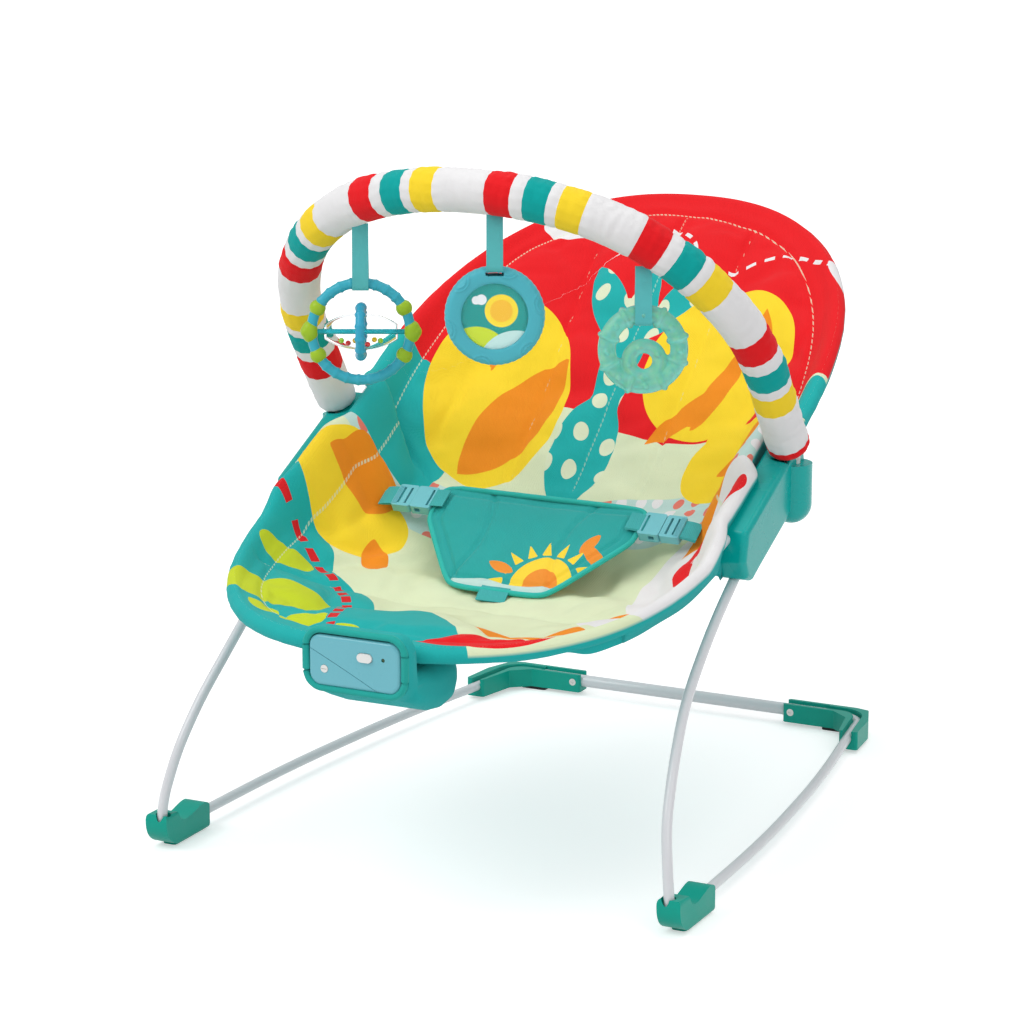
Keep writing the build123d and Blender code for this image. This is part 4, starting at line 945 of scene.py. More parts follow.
def build_sleeve():
    line, run = sleeve_line()
    edges, repeat = stripe_edges()
    base = FIRST_RED_MIDDLE - STRIPES[0][1] / 2
    around = 80
    radius = sizes().sleeve_radius
    rows = []
    for i, centre in enumerate(line):
        before, after = line[max(i - 1, 0)], line[min(i + 1, len(line) - 1)]
        tangent = Vector(after - before).normalized()
        out = Vector((0, math.cos(TOY_LEAN), math.sin(TOY_LEAN)))
        side = tangent.cross(out).normalized()
        phase = (run[i] - base) % repeat
        gap = min(min(abs(phase - e), repeat - abs(phase - e)) for e in edges)
        end_gap = min(run[i], run[-1] - run[i])
        pinch = SEAM_PINCH * math.exp(-(gap / SEAM_WIDTH) ** 2)
        tuck = END_TUCK * math.exp(-end_gap / END_WIDTH)
        sway = 5 * wobble(run[i], 0, 2, 30)
        ring = []
        for k in range(around):
            angle = 2 * math.pi * k / around
            direction = side * math.cos(angle) + out * math.sin(angle)
            p = Vector(centre) + direction * radius
            gather = math.exp(-gap / GATHER_WIDTH) * GATHERS * math.sin(angle * GATHER_COUNT + sway)
            inner = 0.5 + 0.5 * math.cos(angle)
            folds = INNER_FOLDS * inner * wobble(run[i] * 2.4, angle * 0.012, 0, 90)
            slack = SLACK * wobble(*p, 34)
            ring.append(Vector(centre) + direction * (radius - pinch + gather + folds + slack - tuck))
        rows.append(ring)
    sleeve = from_grid("toy_bar_sleeve_cloth", rows, close_v=True)
    attribute(sleeve, "run", np.repeat(run, around))
    cap_ends(sleeve)
    outward(sleeve)
    smooth(sleeve, 60)
    finish_piece(sleeve, "toy_bar", sleeve_material(base, edges, repeat),
                 ("toy_bar_sleeve", "toy_bar_foam"))


def sleeve_material(base, edges, repeat):
    graph = Graph("Striped sleeve")
    vector = graph.coords()
    from_base = graph.math("SUBTRACT", graph.attr("run"), base - 4 * repeat)
    share = graph.math("FRACT", graph.math("DIVIDE", from_base, repeat))
    stripes = graph.bands(share, [(edge / repeat, tone(name)) for edge, (name, _) in zip(edges, STRIPES)])
    return cloth(graph, shade(graph, stripes, vector, 45, 0.05), vector, 0.88, 0.0006)


# ------------------------------------------------------------ harness
# the crotch panel's own directions: x across, y up the seat, z off the cloth
RESTRAINT = Matrix.Translation((0, 0.018, 0.252)) @ Matrix.Rotation(math.radians(30.5), 4, "X")
PANEL_HALF, PANEL_LENGTH, PANEL_SIDE, PANEL_FOOT = 0.090, 0.108, 0.038, 0.042


def panel_half(down):
    """Half width of the crotch panel, down from its top edge."""
    share = max(0.0, (down - PANEL_SIDE) / (PANEL_LENGTH - PANEL_SIDE))
    return PANEL_HALF + (PANEL_FOOT - PANEL_HALF) * share


def panel_outline(inset):
    """Line round the crotch panel, inside its edge, with soft corners: (across, down) as x and y."""
    wide, foot, end = PANEL_HALF - inset, PANEL_FOOT - inset * 0.6, PANEL_LENGTH - inset
    corners = [(-wide, inset), (wide, inset), (wide, PANEL_SIDE), (foot, end), (-foot, end),
               (-wide, PANEL_SIDE)]
    path = []
    for a, b in zip(corners, corners[1:] + corners[:1]):
        a, b = Vector((*a, 0)), Vector((*b, 0))
        path += [a.lerp(b, t) for t in (0.08, 0.5, 0.92)]
    path.append(path[0])
    return rounded_path(path)[:-1]


def to_seat(x, down, up):
    """From the harness panel's own directions to the seat's frame."""
    return RESTRAINT @ Vector((x, -down, up))


PANEL_SEAM_X, PANEL_MARGIN = 0.034, 0.0015
# the panel's print, in millimetres: across, and down from its top edge
PANEL_SUN = [(blob, 34, 98, 25, 30), (rays, 34, 98, 32, 48, 18, 0.55)]
PANEL_ORANGE = [(blob, 34, 98, 14, 17), (leaf, 66, 60, 17, 6, 40), (leaf, 58, 48, 13, 5, 110),
                (leaf, -4, 84, 13, 5, 20)]


def panel_faces(across=91, along=61):
    """Rows of points of the panel's quilted upper side and of its flatter lower side."""
    upper, lower = [], []
    for u in [-1 + 2 * i / (across - 1) for i in range(across)]:
        upper_row, lower_row = [], []
        for v in [j / (along - 1) for j in range(along)]:
            down = PANEL_MARGIN + v * (PANEL_LENGTH - 2 * PANEL_MARGIN)
            corner = max(0.0, 1 - min(v, 1 - v) / 0.06)
            half = panel_half(down) - PANEL_MARGIN - 0.004 * corner ** 2
            x = u * half
            edge = min(half * (1 - abs(u)), down, PANEL_LENGTH - down)
            from_seam = abs(x) - PANEL_SEAM_X - 0.012 * (v - 0.5) ** 2 * 4
            seam = 0.0020 * math.exp(-(from_seam / 0.0022) ** 2)
            border = 0.0015 * math.exp(-((edge - 0.0095) / 0.0016) ** 2)
            puff = 0.0042 * (1 - math.exp(-(edge / 0.010) ** 1.2))
            crease = 0.0011 * wobble(x, down, 0.3, 48) * min(1, edge / 0.01)
            hang = -0.0025 * (1 - u * u) * (1 - v)
            upper_row.append(to_seat(x, down, puff - (seam + border) * min(1, edge / 0.004) + crease + hang))
            lower_row.append(to_seat(x, down, -0.0028 * (1 - math.exp(-edge / 0.008)) + hang))
        upper.append(upper_row)
        lower.append(lower_row)
    return upper, lower


def build_panel():
    upper, lower = panel_faces()
    panel = join([from_grid("panel_top", upper), from_grid("panel_low", lower)], "crotch_panel_pad")
    outward(panel, 0.0004)
    smooth(panel)
    inverse = RESTRAINT.inverted()
    local = np.array([inverse @ v.co for v in panel.data.vertices])
    across, down = local[:, 0] / MM, -local[:, 1] / MM
    attribute(panel, "panel_sun", -drawn(across, down, PANEL_SUN))
    attribute(panel, "panel_orange", -drawn(across, down, PANEL_ORANGE))
    attribute(panel, "panel_band", down - 99 - 2 * np.sin(across / 9))
    finish_piece(panel, "seat", panel_material(), ("crotch_panel",))
    line = [to_seat(p.x, p.y, -0.0004) for p in panel_outline(0.0008)]
    radius = sizes().piping_radius
    piping = closed_tube("crotch_panel_piping", line, lambda i: oval(radius, radius, 10))
    outward(piping)
    smooth(piping)
    piping_colour = tuple(c * 1.15 for c in linear((50, 182, 172)))
    finish_piece(piping, "seat", fabric("Piping", piping_colour, 0.0006))


def panel_material():
    graph = Graph("Quilted panel")
    vector = graph.coords()
    colour = tone("deep_teal")
    for name, over in (("panel_sun", "yellow"), ("panel_orange", "orange"), ("panel_band", "aqua")):
        colour = graph.mix(graph.inside(name), colour, tone(over))
    return graph.set(Base_Color=shade(graph, colour, vector, 60, 0.06), Roughness=0.7, Sheen_Weight=0.2,
                     Sheen_Roughness=0.4, Normal=weave(graph, vector, 0.0007))


def strap(name, path, width_axis, web, body, replaces, material):
    """Flat webbing along a path, with a slightly hollow face and folded edges."""
    path = rounded_path(path, 2)
    half, thickness = web[0] / 2, web[1]
    across = Vector(width_axis).normalized()
    section = [(-half, -0.5), (-half * 0.9, 0.5), (-half * 0.3, 0.45), (half * 0.3, 0.45), (half * 0.9, 0.5),
               (half, -0.5), (half * 0.3, -0.5), (-half * 0.3, -0.5)]
    rows = []
    for i, centre in enumerate(path):
        run = (path[min(i + 1, len(path) - 1)] - path[max(i - 1, 0)]).normalized()
        lift = across.cross(run).normalized()
        rows.append([centre + across * a + lift * (b * thickness) for a, b in section])
    band = from_grid(name, rows, close_v=True)
    cap_ends(band)
    outward(band)
    smooth(band, 40)
    finish_piece(band, body, material, replaces)


# width and thickness of the webbing, and each strap's way over the panel's plane as (place, height)
WAIST_WEB, TAB_WEB, CROTCH_WEB = (0.020, 0.0016), (0.019, 0.0014), (0.025, 0.0016)
RIBBON = (0.0125, 0.0011)
WAIST_DOWN = 0.019
WAIST_PATH = ((0.120, 0.0012), (0.127, 0.0016), (0.133, 0.0010), (0.139, -0.0010))
TAB_PATH = ((0.080, 0.0046), (0.088, 0.0044), (0.0935, 0.0030), (0.0955, -0.0010))
CROTCH_PATH = ((0.100, 0.0000), (0.108, 0.0006), (0.114, 0.0004), (0.1185, -0.0008))


def build_straps():
    webbing = fabric("Webbing", linear((70, 178, 178)), 0.0011)
    down_panel = to_seat(0, 1, 0) - to_seat(0, 0, 0)
    for side, name in ((1, "left"), (-1, "right")):
        waist = [to_seat(side * x, WAIST_DOWN, up) for x, up in WAIST_PATH]
        strap(f"waist_strap_{name}_web", waist, down_panel, WAIST_WEB, f"plug_{name}",
              (f"waist_strap_{name}",), webbing)
        tab = [to_seat(side * x, WAIST_DOWN, up) for x, up in TAB_PATH]
        strap(f"socket_tab_{name}", tab, down_panel, TAB_WEB, "seat", (), webbing)
    crotch = [to_seat(0, down, up) for down, up in CROTCH_PATH]
    strap("crotch_strap_web", crotch, (1, 0, 0), CROTCH_WEB, "seat", ("crotch_strap",), webbing)


# ------------------------------------------------------------ vibration unit's pouch
UNIT_X = 0.012
# the pouch's cross sections: y, half width, lowest and highest z, corner radius
POUCH_SECTIONS = (
    (-0.3225, 0.0425, 0.1835, 0.2300, 0.014), (-0.3180, 0.0430, 0.1815, 0.2300, 0.014),
    (-0.3115, 0.0432, 0.1785, 0.2290, 0.014), (-0.3098, 0.0430, 0.1775, 0.1985, 0.009),
    (-0.2960, 0.0430, 0.1705, 0.1982, 0.010), (-0.2780, 0.0430, 0.1630, 0.1980, 0.012),
    (-0.2620, 0.0425, 0.1600, 0.1980, 0.014), (-0.2480, 0.0415, 0.1600, 0.1980, 0.015),
    (-0.2400, 0.0390, 0.1640, 0.1978, 0.015), (-0.2365, 0.0340, 0.1720, 0.1965, 0.012),
)
POUCH_CLOTH = 0.0018
# the binding round its mouth: the line's y, then half width, lowest and highest z, corner radius
BINDING_Y, BINDING_LINE = -0.3235, (0.0401, 0.1848, 0.2284, 0.013)


def rounded_box(half_x, low, high, corner):
    """Points (x, z) round a rectangle with rounded corners."""
    steps = 12
    points = []
    for cx, cz, start in ((half_x - corner, high - corner, 0), (-half_x + corner, high - corner, 90),
                          (-half_x + corner, low + corner, 180), (half_x - corner, low + corner, 270)):
        for k in range(steps + 1):
            a = math.radians(start + 90 * k / steps)
            points.append((cx + corner * math.cos(a), cz + corner * math.sin(a)))
    return points


def build_pouch():
    rows = []
    for y, *section in POUCH_SECTIONS:
        ring = []
        for x, z in rounded_box(*section):
            push = 1 + 0.02 * wobble(x, y, z, 40)
            ring.append(Vector((UNIT_X + x * push, y, z + 0.0008 * wobble(x, y, z, 60))))
        rows.append(ring)
    pouch = from_grid("vibration_pouch", rows, close_v=True)
    with editing(pouch, "DESELECT"):
        bpy.ops.mesh.select_mode(type="VERT")
    back_ring = len(pouch.data.vertices) - len(rows[-1])
    for vertex in pouch.data.vertices:
        vertex.select = vertex.index >= back_ring
    with editing(pouch):
        bpy.ops.mesh.edge_face_add()
        bpy.ops.mesh.select_all(action="SELECT")
        bpy.ops.mesh.normals_make_consistent(inside=False)
    wall = pouch.modifiers.new("Cloth thickness", "SOLIDIFY")
    wall.thickness = POUCH_CLOTH
    wall.offset = -1
    apply_modifiers(pouch)
    smooth(pouch, 50)
    teal_cloth = fabric("Pouch cloth", tone("teal"), 0.0008)
    finish_piece(pouch, "seat", teal_cloth, ("vibration_pocket",))

    def puckered(i):
        pucker = 1 + 0.10 * wobble(i * 0.37, 0, 0, 1.0)
        return oval(0.0030 * pucker, 0.0026 * pucker, 12)

    line = [Vector((UNIT_X + x, BINDING_Y, z)) for x, z in rounded_box(*BINDING_LINE)]
    binding = closed_tube("vibration_pouch_binding", line, puckered)
    outward(binding)
    smooth(binding)
    finish_piece(binding, "seat", fabric("Binding cloth", linear((40, 176, 166)), 0.0007))


# ------------------------------------------------------------ toys
def toy_matrix(centre):
    """From a toy's own axes, about its middle, to the seat's frame."""
    return Matrix.Translation(centre) @ Matrix.Rotation(TOY_TURN, 4, "Z")


def toy_ribbon(toy, rim_z, half_rim, rim_low_z):
    """Ribbon folded round the toy: down in front, under the rim, and up behind to the toy bar."""
    low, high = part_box(f"{toy}_ribbon")
    top = high.z + 0.0065
    middle = (low + high) / 2
    gap = half_rim + 0.0009
    lean = min(0.022, (top - rim_z) * 0.6)
    under = rim_low_z - 0.0008
    path = [(0.0013, top), (-0.0007, top - 0.010), (-0.0007, rim_z + lean), (-gap, rim_z + 0.001),
            (-gap, rim_low_z + 0.002), (-gap * 0.75, under), (gap * 0.75, under), (gap, rim_low_z + 0.002),
            (gap, rim_z + 0.001), (0.0007, rim_z + lean), (0.0007, top - 0.010), (0.0027, top)]
    matrix = toy_matrix((middle.x, middle.y, 0))
    path = [matrix @ Vector((0, y, z)) for y, z in path]
    across = matrix.to_3x3() @ Vector((1, 0, 0))
    strap(f"{toy}_ribbon_loop", path, across, RIBBON, toy, (f"{toy}_ribbon",), ribbon_material())


def ribbon_material():
    graph = Graph("Satin ribbon")
    vector = graph.coords()
    return graph.set(Base_Color=shade(graph, tone("ribbon"), vector, 80, 0.08), Roughness=0.5, Sheen_Weight=0.3,
                     Sheen_Roughness=0.3, Normal=weave(graph, vector, 0.0005, 0.25))


def torus(name, major, minor, count, around, section=None):
    """Ring in its own XZ plane, with a section that may change along it."""
    deselect()
    bpy.ops.mesh.primitive_torus_add(major_radius=major, minor_radius=minor, major_segments=count,
                                     minor_segments=around, location=(0, 0, 0), generate_uvs=False)
    ring = bpy.context.active_object
    ring.name = name
    place(ring, Matrix.Rotation(math.radians(90), 4, "X"))
    if section:
        for point in ring.data.vertices:
            angle = math.atan2(point.co.z, point.co.x)
            core = Vector((major * math.cos(angle), 0, major * math.sin(angle)))
            point.co = core + (point.co - core).normalized() * section(angle)
    smooth(ring)
    return ring


def ball(name, centre, radius, squash=(1, 1, 1), segments=24):
    deselect()
    bpy.ops.mesh.primitive_uv_sphere_add(segments=segments, ring_count=segments // 2, radius=radius,
                                         location=centre, scale=squash)
    sphere = bpy.context.active_object
    sphere.name = name
    at_origin(sphere)
    bpy.ops.object.shade_smooth()
    return sphere


HOOP_RADIUS = 0.038


def ribbed(angle):
    """Radius of the rattle's hoop: ribbed all along, and plain beside the lugs."""
    clear_of_lugs = smoothstep(0.30, 0.42, abs(math.sin(angle)))
    return 0.0040 + 0.0007 * float(clear_of_lugs) * max(0.0, math.sin(angle * 26)) ** 3


def bumpy(angle):
    """Radius of the bumpy ring: twelve rounded knobs all round."""
    return 0.0036 + 0.0008 * max(0.0, math.sin(angle * 12)) ** 2


def build_ring_toy():
    low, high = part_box("ring_toy_hoop")
    centre = (low + high) / 2
    matrix = toy_matrix(centre)
    blue, lime = plastic("Rattle blue", tone("toy"), 0.32), plastic("Rattle lime", tone("toy_lime"), 0.35)
    hoop = torus("rattle_hoop", HOOP_RADIUS, 0.0044, 208, 20, ribbed)
    place(hoop, matrix)
    finish_piece(hoop, "ring_toy", blue, ("ring_toy_hoop",))
    parts = []
    for side in (-1, 1):
        parts.append(ball("lug", (side * 0.0395, 0, 0), 0.0070, (0.92, 0.95, 1.25)))
        parts.append(ball("lug_face", (side * 0.0425, 0, 0), 0.0048, (0.9, 1.32, 1.0)))
        for swing in (-29, 29):
            x, _, z = on_ring(HOOP_RADIUS, swing)
            parts.append(ball("bead", (side * x, 0, z), 0.0064, (1.0, 0.95, 1.0)))
    lugs = join(parts, "rattle_lugs")
    remesh(lugs, 0.0007, 3)
    place(lugs, matrix)
    finish_piece(lugs, "ring_toy", lime, ("ring_toy_lugs",))
    ring = torus("bumpy_ring_shape", 0.0187, 0.0036, 144, 18, bumpy)
    place(ring, matrix @ Matrix.Rotation(math.radians(90), 4, "Z"))
    bright = plastic("Bumpy ring", linear((58, 172, 206)), 0.3)
    finish_piece(ring, "bumpy_ring", bright, ("bumpy_ring",))
    paint_node("barrel_shell", clear("Clear barrel", (0.97, 0.99, 1.0), 0.02, 1.0, 1.12))
    paint_node("barrel_axle", plastic("Axle", linear((30, 170, 182)), 0.3))
    paint_node("barrel_beads", bead_material(centre))
    toy_ribbon("ring_toy", centre.z + 0.0424, 0.0044, centre.z + 0.0336)


def bead_material(centre):
    """Lime, red and yellow beads by turns along the axle."""
    graph = Graph("Rattle beads")
    along = graph.split(graph.local(centre, TOY_TURN))[0]
    first, pitch = 0.0175, 0.015
    step = graph.math("FRACT", graph.math("MULTIPLY", graph.math("ADD", along, first), 1 / pitch))
    shades = graph.bands(step, [(0.0, linear((150, 200, 40))), (0.333, linear((226, 40, 40))),
                                (0.666, linear((250, 200, 30)))])
    return graph.set(Base_Color=shades, Roughness=0.3)


def remesh(obj, size, relax):
    """Fuse a piece's overlapping forms into one skin."""
    fuse = obj.modifiers.new("Fuse", "REMESH")
    fuse.mode = "VOXEL"
    fuse.voxel_size = size
    soften = obj.modifiers.new("Soften", "SMOOTH")
    soften.factor = 0.5
    soften.iterations = relax
    apply_modifiers(obj)
    smooth(obj)


# half of the disc toy: (radius, height) from the picture's edge out to the rim
DISC_RIM = [
    (0.0266, 0.0067), (0.0280, 0.0068), (0.0288, 0.0069), (0.0295, 0.0070), (0.0303, 0.00705), (0.0310, 0.0071),
    (0.0318, 0.0071), (0.0325, 0.0071), (0.0333, 0.00705), (0.0340, 0.0070), (0.0346, 0.0068), (0.0352, 0.0066),
    (0.0359, 0.0061), (0.0365, 0.0056), (0.0370, 0.0048), (0.0374, 0.0040), (0.0376, 0.0030), (0.0378, 0.0020),
    (0.0379, 0.0002)]
WINDOW_RADIUS, BACK_DISH_RADIUS, DISH_HEIGHT = 0.0252, 0.006, 0.0030
SCALLOPS, SCALLOP_DEPTH, DISC_WALL = 46, 0.008, 0.0014
SLOT_Z, SLOT_HALF_WIDE, SLOT_HALF_HIGH = 0.0324, 0.0070, 0.0014
ARC_CENTRES, ARC_RADII, ARC_LIFT, ARC_WIDTH = 0.0395, (0.0062, 0.0088), 0.0008, 0.0006


def turned_disc(name, profile, count):
    """Half shell extruded out from a ring of edges, step by step along its profile of (radius, height)."""
    deselect()
    bpy.ops.mesh.primitive_circle_add(vertices=count, radius=profile[0][0], fill_type="NOTHING",
                                      location=(0, 0, 0))
    half = bpy.context.active_object
    half.name = name
    place(half, Matrix.Translation((0, 0, profile[0][1])))
    with editing(half, "SELECT"):
        for (radius, height), (next_radius, next_height) in zip(profile, profile[1:]):
            share = next_radius / radius
            bpy.ops.mesh.extrude_region_move(TRANSFORM_OT_translate={"value": (0, 0, next_height - height)})
            bpy.ops.transform.resize(value=(share, share, 1), center_override=(0, 0, next_height))
    return half


def close_middle(half):
    """Fill the ring of edges at the middle of the disc's back half."""
    activate(half)
    points = half.data.vertices
    for point in points:
        inmost = math.hypot(point.co.x, point.co.y) < BACK_DISH_RADIUS * 1.01
        point.select = inmost and point.co.z < DISH_HEIGHT + 0.0001
    for edge in half.data.edges:
        edge.select = all(points[i].select for i in edge.vertices)
    for face in half.data.polygons:
        face.select = False
    with editing(half):
        bpy.ops.mesh.select_mode(type="EDGE")
        bpy.ops.mesh.edge_face_add()


def picture_arcs(x, y):
    """Height of the raised double arcs round the picture."""
    lift = 0.0
    for k in range(6):
        turn = math.radians(15 + 60 * k)
        away = math.hypot(x - ARC_CENTRES * math.cos(turn), y - ARC_CENTRES * math.sin(turn))
        for arc in ARC_RADII:
            lift += ARC_LIFT * math.exp(-((away - arc) / ARC_WIDTH) ** 2)
    return lift


def build_disc_toy():
    low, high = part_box("disc_toy_picture")
    centre = (low + high) / 2
    ribbon_low, ribbon_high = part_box("disc_toy_ribbon")
    middle = Vector((0.018, (ribbon_low.y + ribbon_high.y) / 2, centre.z))
    matrix = toy_matrix(middle)
    blue = plastic("Disc rim", tone("disc"), 0.42, 0.1)
    for sign, side, inner in ((-1, "front", WINDOW_RADIUS), (1, "back", BACK_DISH_RADIUS)):
        lip = [(inner, DISH_HEIGHT), (inner, 0.0058), (inner + 0.0012, 0.0066)]
        half = turned_disc(f"disc_rim_{side}", lip + DISC_RIM, 300)
        if side == "back":
            close_middle(half)
        for point in half.data.vertices:
            x, y, height = point.co
            reach, angle = math.hypot(x, y), math.atan2(y, x)
            if side == "front" and 0.027 < reach < 0.037:
                height += picture_arcs(x, y)
            wave = 0.5 + 0.5 * math.cos(angle * SCALLOPS)
            scallop = 1 - SCALLOP_DEPTH * wave * float(smoothstep(0.0345, 0.0375, reach))
            point.co = (x * scallop, sign * height, y * scallop)
        cut_slot(half)
        outward(half)
        wall = half.modifiers.new("Wall", "SOLIDIFY")
        wall.thickness = DISC_WALL
        place(half, matrix)
        apply_modifiers(half)
        smooth(half, 50)
        finish_piece(half, "disc_toy", blue, (f"disc_toy_{side}",))
    paint_node("disc_toy_window", clear("Window", (0.96, 0.99, 1.0), 0.02, 1.0, 1.1))
    paint_node("disc_toy_picture", picture_material(middle))
    toy_ribbon("disc_toy", centre.z + 0.0380, 0.0074, centre.z + 0.0345)


def cut_slot(obj):
    """Open the ribbon's slot through the rim."""
    activate(obj)
    mesh = bmesh.new()
    mesh.from_mesh(obj.data)
    middles = [(face, face.calc_center_median()) for face in mesh.faces]
    gone = [face for face, middle in middles
            if abs(middle.x) < SLOT_HALF_WIDE and abs(middle.z - SLOT_Z) < SLOT_HALF_HIGH]
    bmesh.ops.delete(mesh, geom=gone, context="FACES")
    mesh.to_mesh(obj.data)
    mesh.free()


def picture_material(middle):
    """A sun over two hills, with a small cloud: round patches at (x, z) from the middle, each over the last."""
    graph = Graph("Disc picture")
    x, _, z = graph.split(graph.local(middle, TOY_TURN))
    colour = linear((0, 150, 142))
    for patch_x, patch_z, radius, over in (
            (0.005, 0.004, 0.0125, tone("yellow")), (0.005, 0.004, 0.0085, linear((252, 190, 40))),
            (-0.014, -0.034, 0.026, tone("lime")), (0.016, -0.040, 0.029, tone("aqua")),
            (-0.014, 0.012, 0.0032, tone("white")), (-0.010, 0.0125, 0.0040, tone("white"))):
        away = graph.distance(graph.math("SUBTRACT", x, patch_x), graph.math("SUBTRACT", z, patch_z))
        colour = graph.mix(graph.math("LESS_THAN", away, radius), colour, over)
    grain = graph.noise(graph.coords(), 500, 2.0)
    return graph.set(Base_Color=colour, Roughness=graph.math("MULTIPLY_ADD", grain, 0.2, 0.35))


# the teether's two rings: radius of the ring and of its gel, and where the small one sits
TEETHER_Z = 0.403
BIG_RING, BIG_GEL = 0.027, 0.0068
SMALL_RING, SMALL_GEL = 0.0115, 0.0056
SMALL_AT = Vector((0.001, 0, -0.009))


def build_teether():
    low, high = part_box("teether_ribbon")
    centre = Vector(((low.x + high.x) / 2, (low.y + high.y) / 2, TEETHER_Z))
    outer = torus("outer", BIG_RING, BIG_GEL, 96, 20)
    inner = torus("inner", SMALL_RING, SMALL_GEL, 64, 18)
    place(inner, Matrix.Translation(SMALL_AT))
    parts = [outer, inner]
    for angle in (18, 62, 118, 160, 205, 250, 300, 342):
        collar = torus("collar", 0.0067, 0.0021, 28, 10)
        turn = Matrix.Translation(on_ring(BIG_RING, angle)) @ Matrix.Rotation(-math.radians(angle), 4, "Y")
        place(collar, turn @ Matrix.Rotation(math.radians(90), 4, "X"))
        parts.append(collar)
    for angle in (0, 40, 90, 138, 182, 228, 275, 322):
        for side in (-1, 1):
            parts.append(ball("nub", on_ring(BIG_RING, angle, side * BIG_GEL), 0.0025, segments=12))
    for angle in (30, 110, 190, 270):
        parts.append(ball("nub", SMALL_AT + on_ring(SMALL_RING, angle, -0.0054), 0.0021, segments=12))
    gel = join(parts, "teether_gel")
    remesh(gel, 0.0008, 2)
    place(gel, toy_matrix(centre))
    graph = Graph("Teether gel")
    cloudy = graph.mix(graph.noise(graph.coords(), 120, 3.0), linear((96, 222, 206)), linear((176, 242, 232)))
    material = graph.set(Base_Color=cloudy, Roughness=0.18, Transmission_Weight=0.5, IOR=1.36,
                         Subsurface_Weight=0.35, Subsurface_Scale=0.006)
    finish_piece(gel, "teether", material, ("teether_spiral",))
    toy_ribbon("teether", centre.z + 0.0340, 0.0070, centre.z + 0.0198)


# ------------------------------------------------------------ hard parts
def build_leg_wires():
    """Smooth, painted copies of the legs' wire solids; the real wire bends between foot and hub as the seat
    bounces.
    """
    wire = painted_wire("Leg wire paint", tone("wire"))
    for side in ("left", "right"):
        node = f"leg_wire_{side}"
        leg = bpy.data.objects.new(f"{node}_spring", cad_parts[node].data.copy())
        bpy.context.collection.objects.link(leg)
        outward(leg)
        smooth(leg, 40)
        leg.data.materials.clear()
        leg.data.materials.append(wire)
        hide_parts(node)
        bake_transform(leg)


def build_hard_finishes():
    wire = painted_wire("Painted wire", tone("wire"))
    for node in ("crossbar_tube", "seat_front_tube", "seat_back_tube"):
        paint_node(node, wire)
    hub = plastic("Hub plastic", tone("hub"), 0.27, 0.1, 0.12)
    corner = plastic("Corner plastic", tone("foot"), 0.36, 0.15)
    for side in ("left", "right"):
        paint_node(f"hub_outer_{side}", hub)
        paint_node(f"hub_inner_{side}", hub)
        paint_node(f"rear_connector_{side}", corner)
        paint_node(f"front_foot_{side}", plastic(f"Foot plastic {side}", tone("foot"), 0.42, 0.3))
        buckle = plastic(f"Buckle plastic {side}", tone("buckle"), 0.35, 0.2)
        paint_node(f"buckle_socket_{side}", buckle)
        paint_node(f"buckle_plug_{side}", buckle)
        paint_node(f"toy_bar_plug_{side}", plastic(f"Plug plastic {side}", linear((230, 230, 228)), 0.4))
    paint_node("rear_pads", rubber("Grip rubber", linear((40, 42, 44))))
    steel = metal("Zinc steel", (0.62, 0.62, 0.60), 0.35)
    for node in ("connector_screws", "hub_screws", "battery_door_screw", "motor_weight"):
        paint_node(node, steel)
    unit = plastic("Unit plastic", tone("unit"), 0.25, 0.12, 0.3)
    for node in ("unit_front_shell", "unit_back_shell", "battery_door"):
        paint_node(node, unit)
    paint_node("power_button", plastic("Button plastic", linear((240, 240, 238)), 0.3, 0.1, 0.2))
    paint_node("power_switch", plastic("Switch plastic", linear((22, 22, 24)), 0.5))
    paint_node("circuit_board", plastic("Board", linear((18, 88, 46)), 0.45, 0.4))
    paint_node("indicator_lamp", clear("Lamp lens", linear((60, 120, 60)), 0.1, 0.6, 1.45))
    paint_node("battery_cell", metal("Cell can", (0.72, 0.55, 0.22), 0.3))
    for node in ("battery_contacts", "vibration_motor"):
        paint_node(node, metal(f"Nickel {node}", (0.72, 0.70, 0.66), 0.22))
    paint_node("toy_bar_core", plastic("Core plastic", linear((225, 225, 222)), 0.5))


# ------------------------------------------------------------ stage
CAMERA_AT, CAMERA_LENS = (1.19899, -2.49163, 0.93283), 126.56
CAMERA_AZIMUTH, CAMERA_DOWN = math.radians(26.105), math.radians(13.987)
# name, place, size in metres and power in watts
LAMPS = (("key", (-1.6, -1.8, 2.6), 1.8, 42), ("fill", (2.4, -1.6, 1.8), 2.0, 16),
         ("top", (0.3, 0.8, 3.0), 2.4, 22))


def stand(name, data, at, aim):
    """Put a lamp or a camera in the scene, looking along a direction."""
    holder = bpy.data.objects.new(name, data)
    bpy.context.collection.objects.link(holder)
    holder.location = at
    holder.rotation_euler = aim.to_track_quat("-Z", "Y").to_euler()
    return holder


def build_floor():
    """Plain white floor that keeps the seat's shadow and whitens away from it."""
    deselect()
    bpy.ops.mesh.primitive_plane_add(size=40, location=(0, 6, -0.0002))
    floor = bpy.context.active_object
    floor.name = "floor"
    at_origin(floor)
    graph = Graph("Studio floor")
    seen = graph.add("ShaderNodeLightPath")
    mirrored = graph.math("MAXIMUM", seen.outputs["Is Glossy Ray"], seen.outputs["Is Transmission Ray"])
    any_view = graph.math("MAXIMUM", seen.outputs["Is Camera Ray"], mirrored)
    x, y, _ = graph.split(graph.coords())
    strength = graph.math("MINIMUM", graph.math("MULTIPLY_ADD", graph.distance(x, y), 0.09, 0.46), 0.95)
    graph.set(Base_Color=(0.80, 0.80, 0.80), Roughness=0.9, Emission_Color=(1, 1, 1),
              Emission_Strength=graph.math("MULTIPLY", any_view, strength), Specular_IOR_Level=0.0)
    floor.data.materials.append(graph.owner)


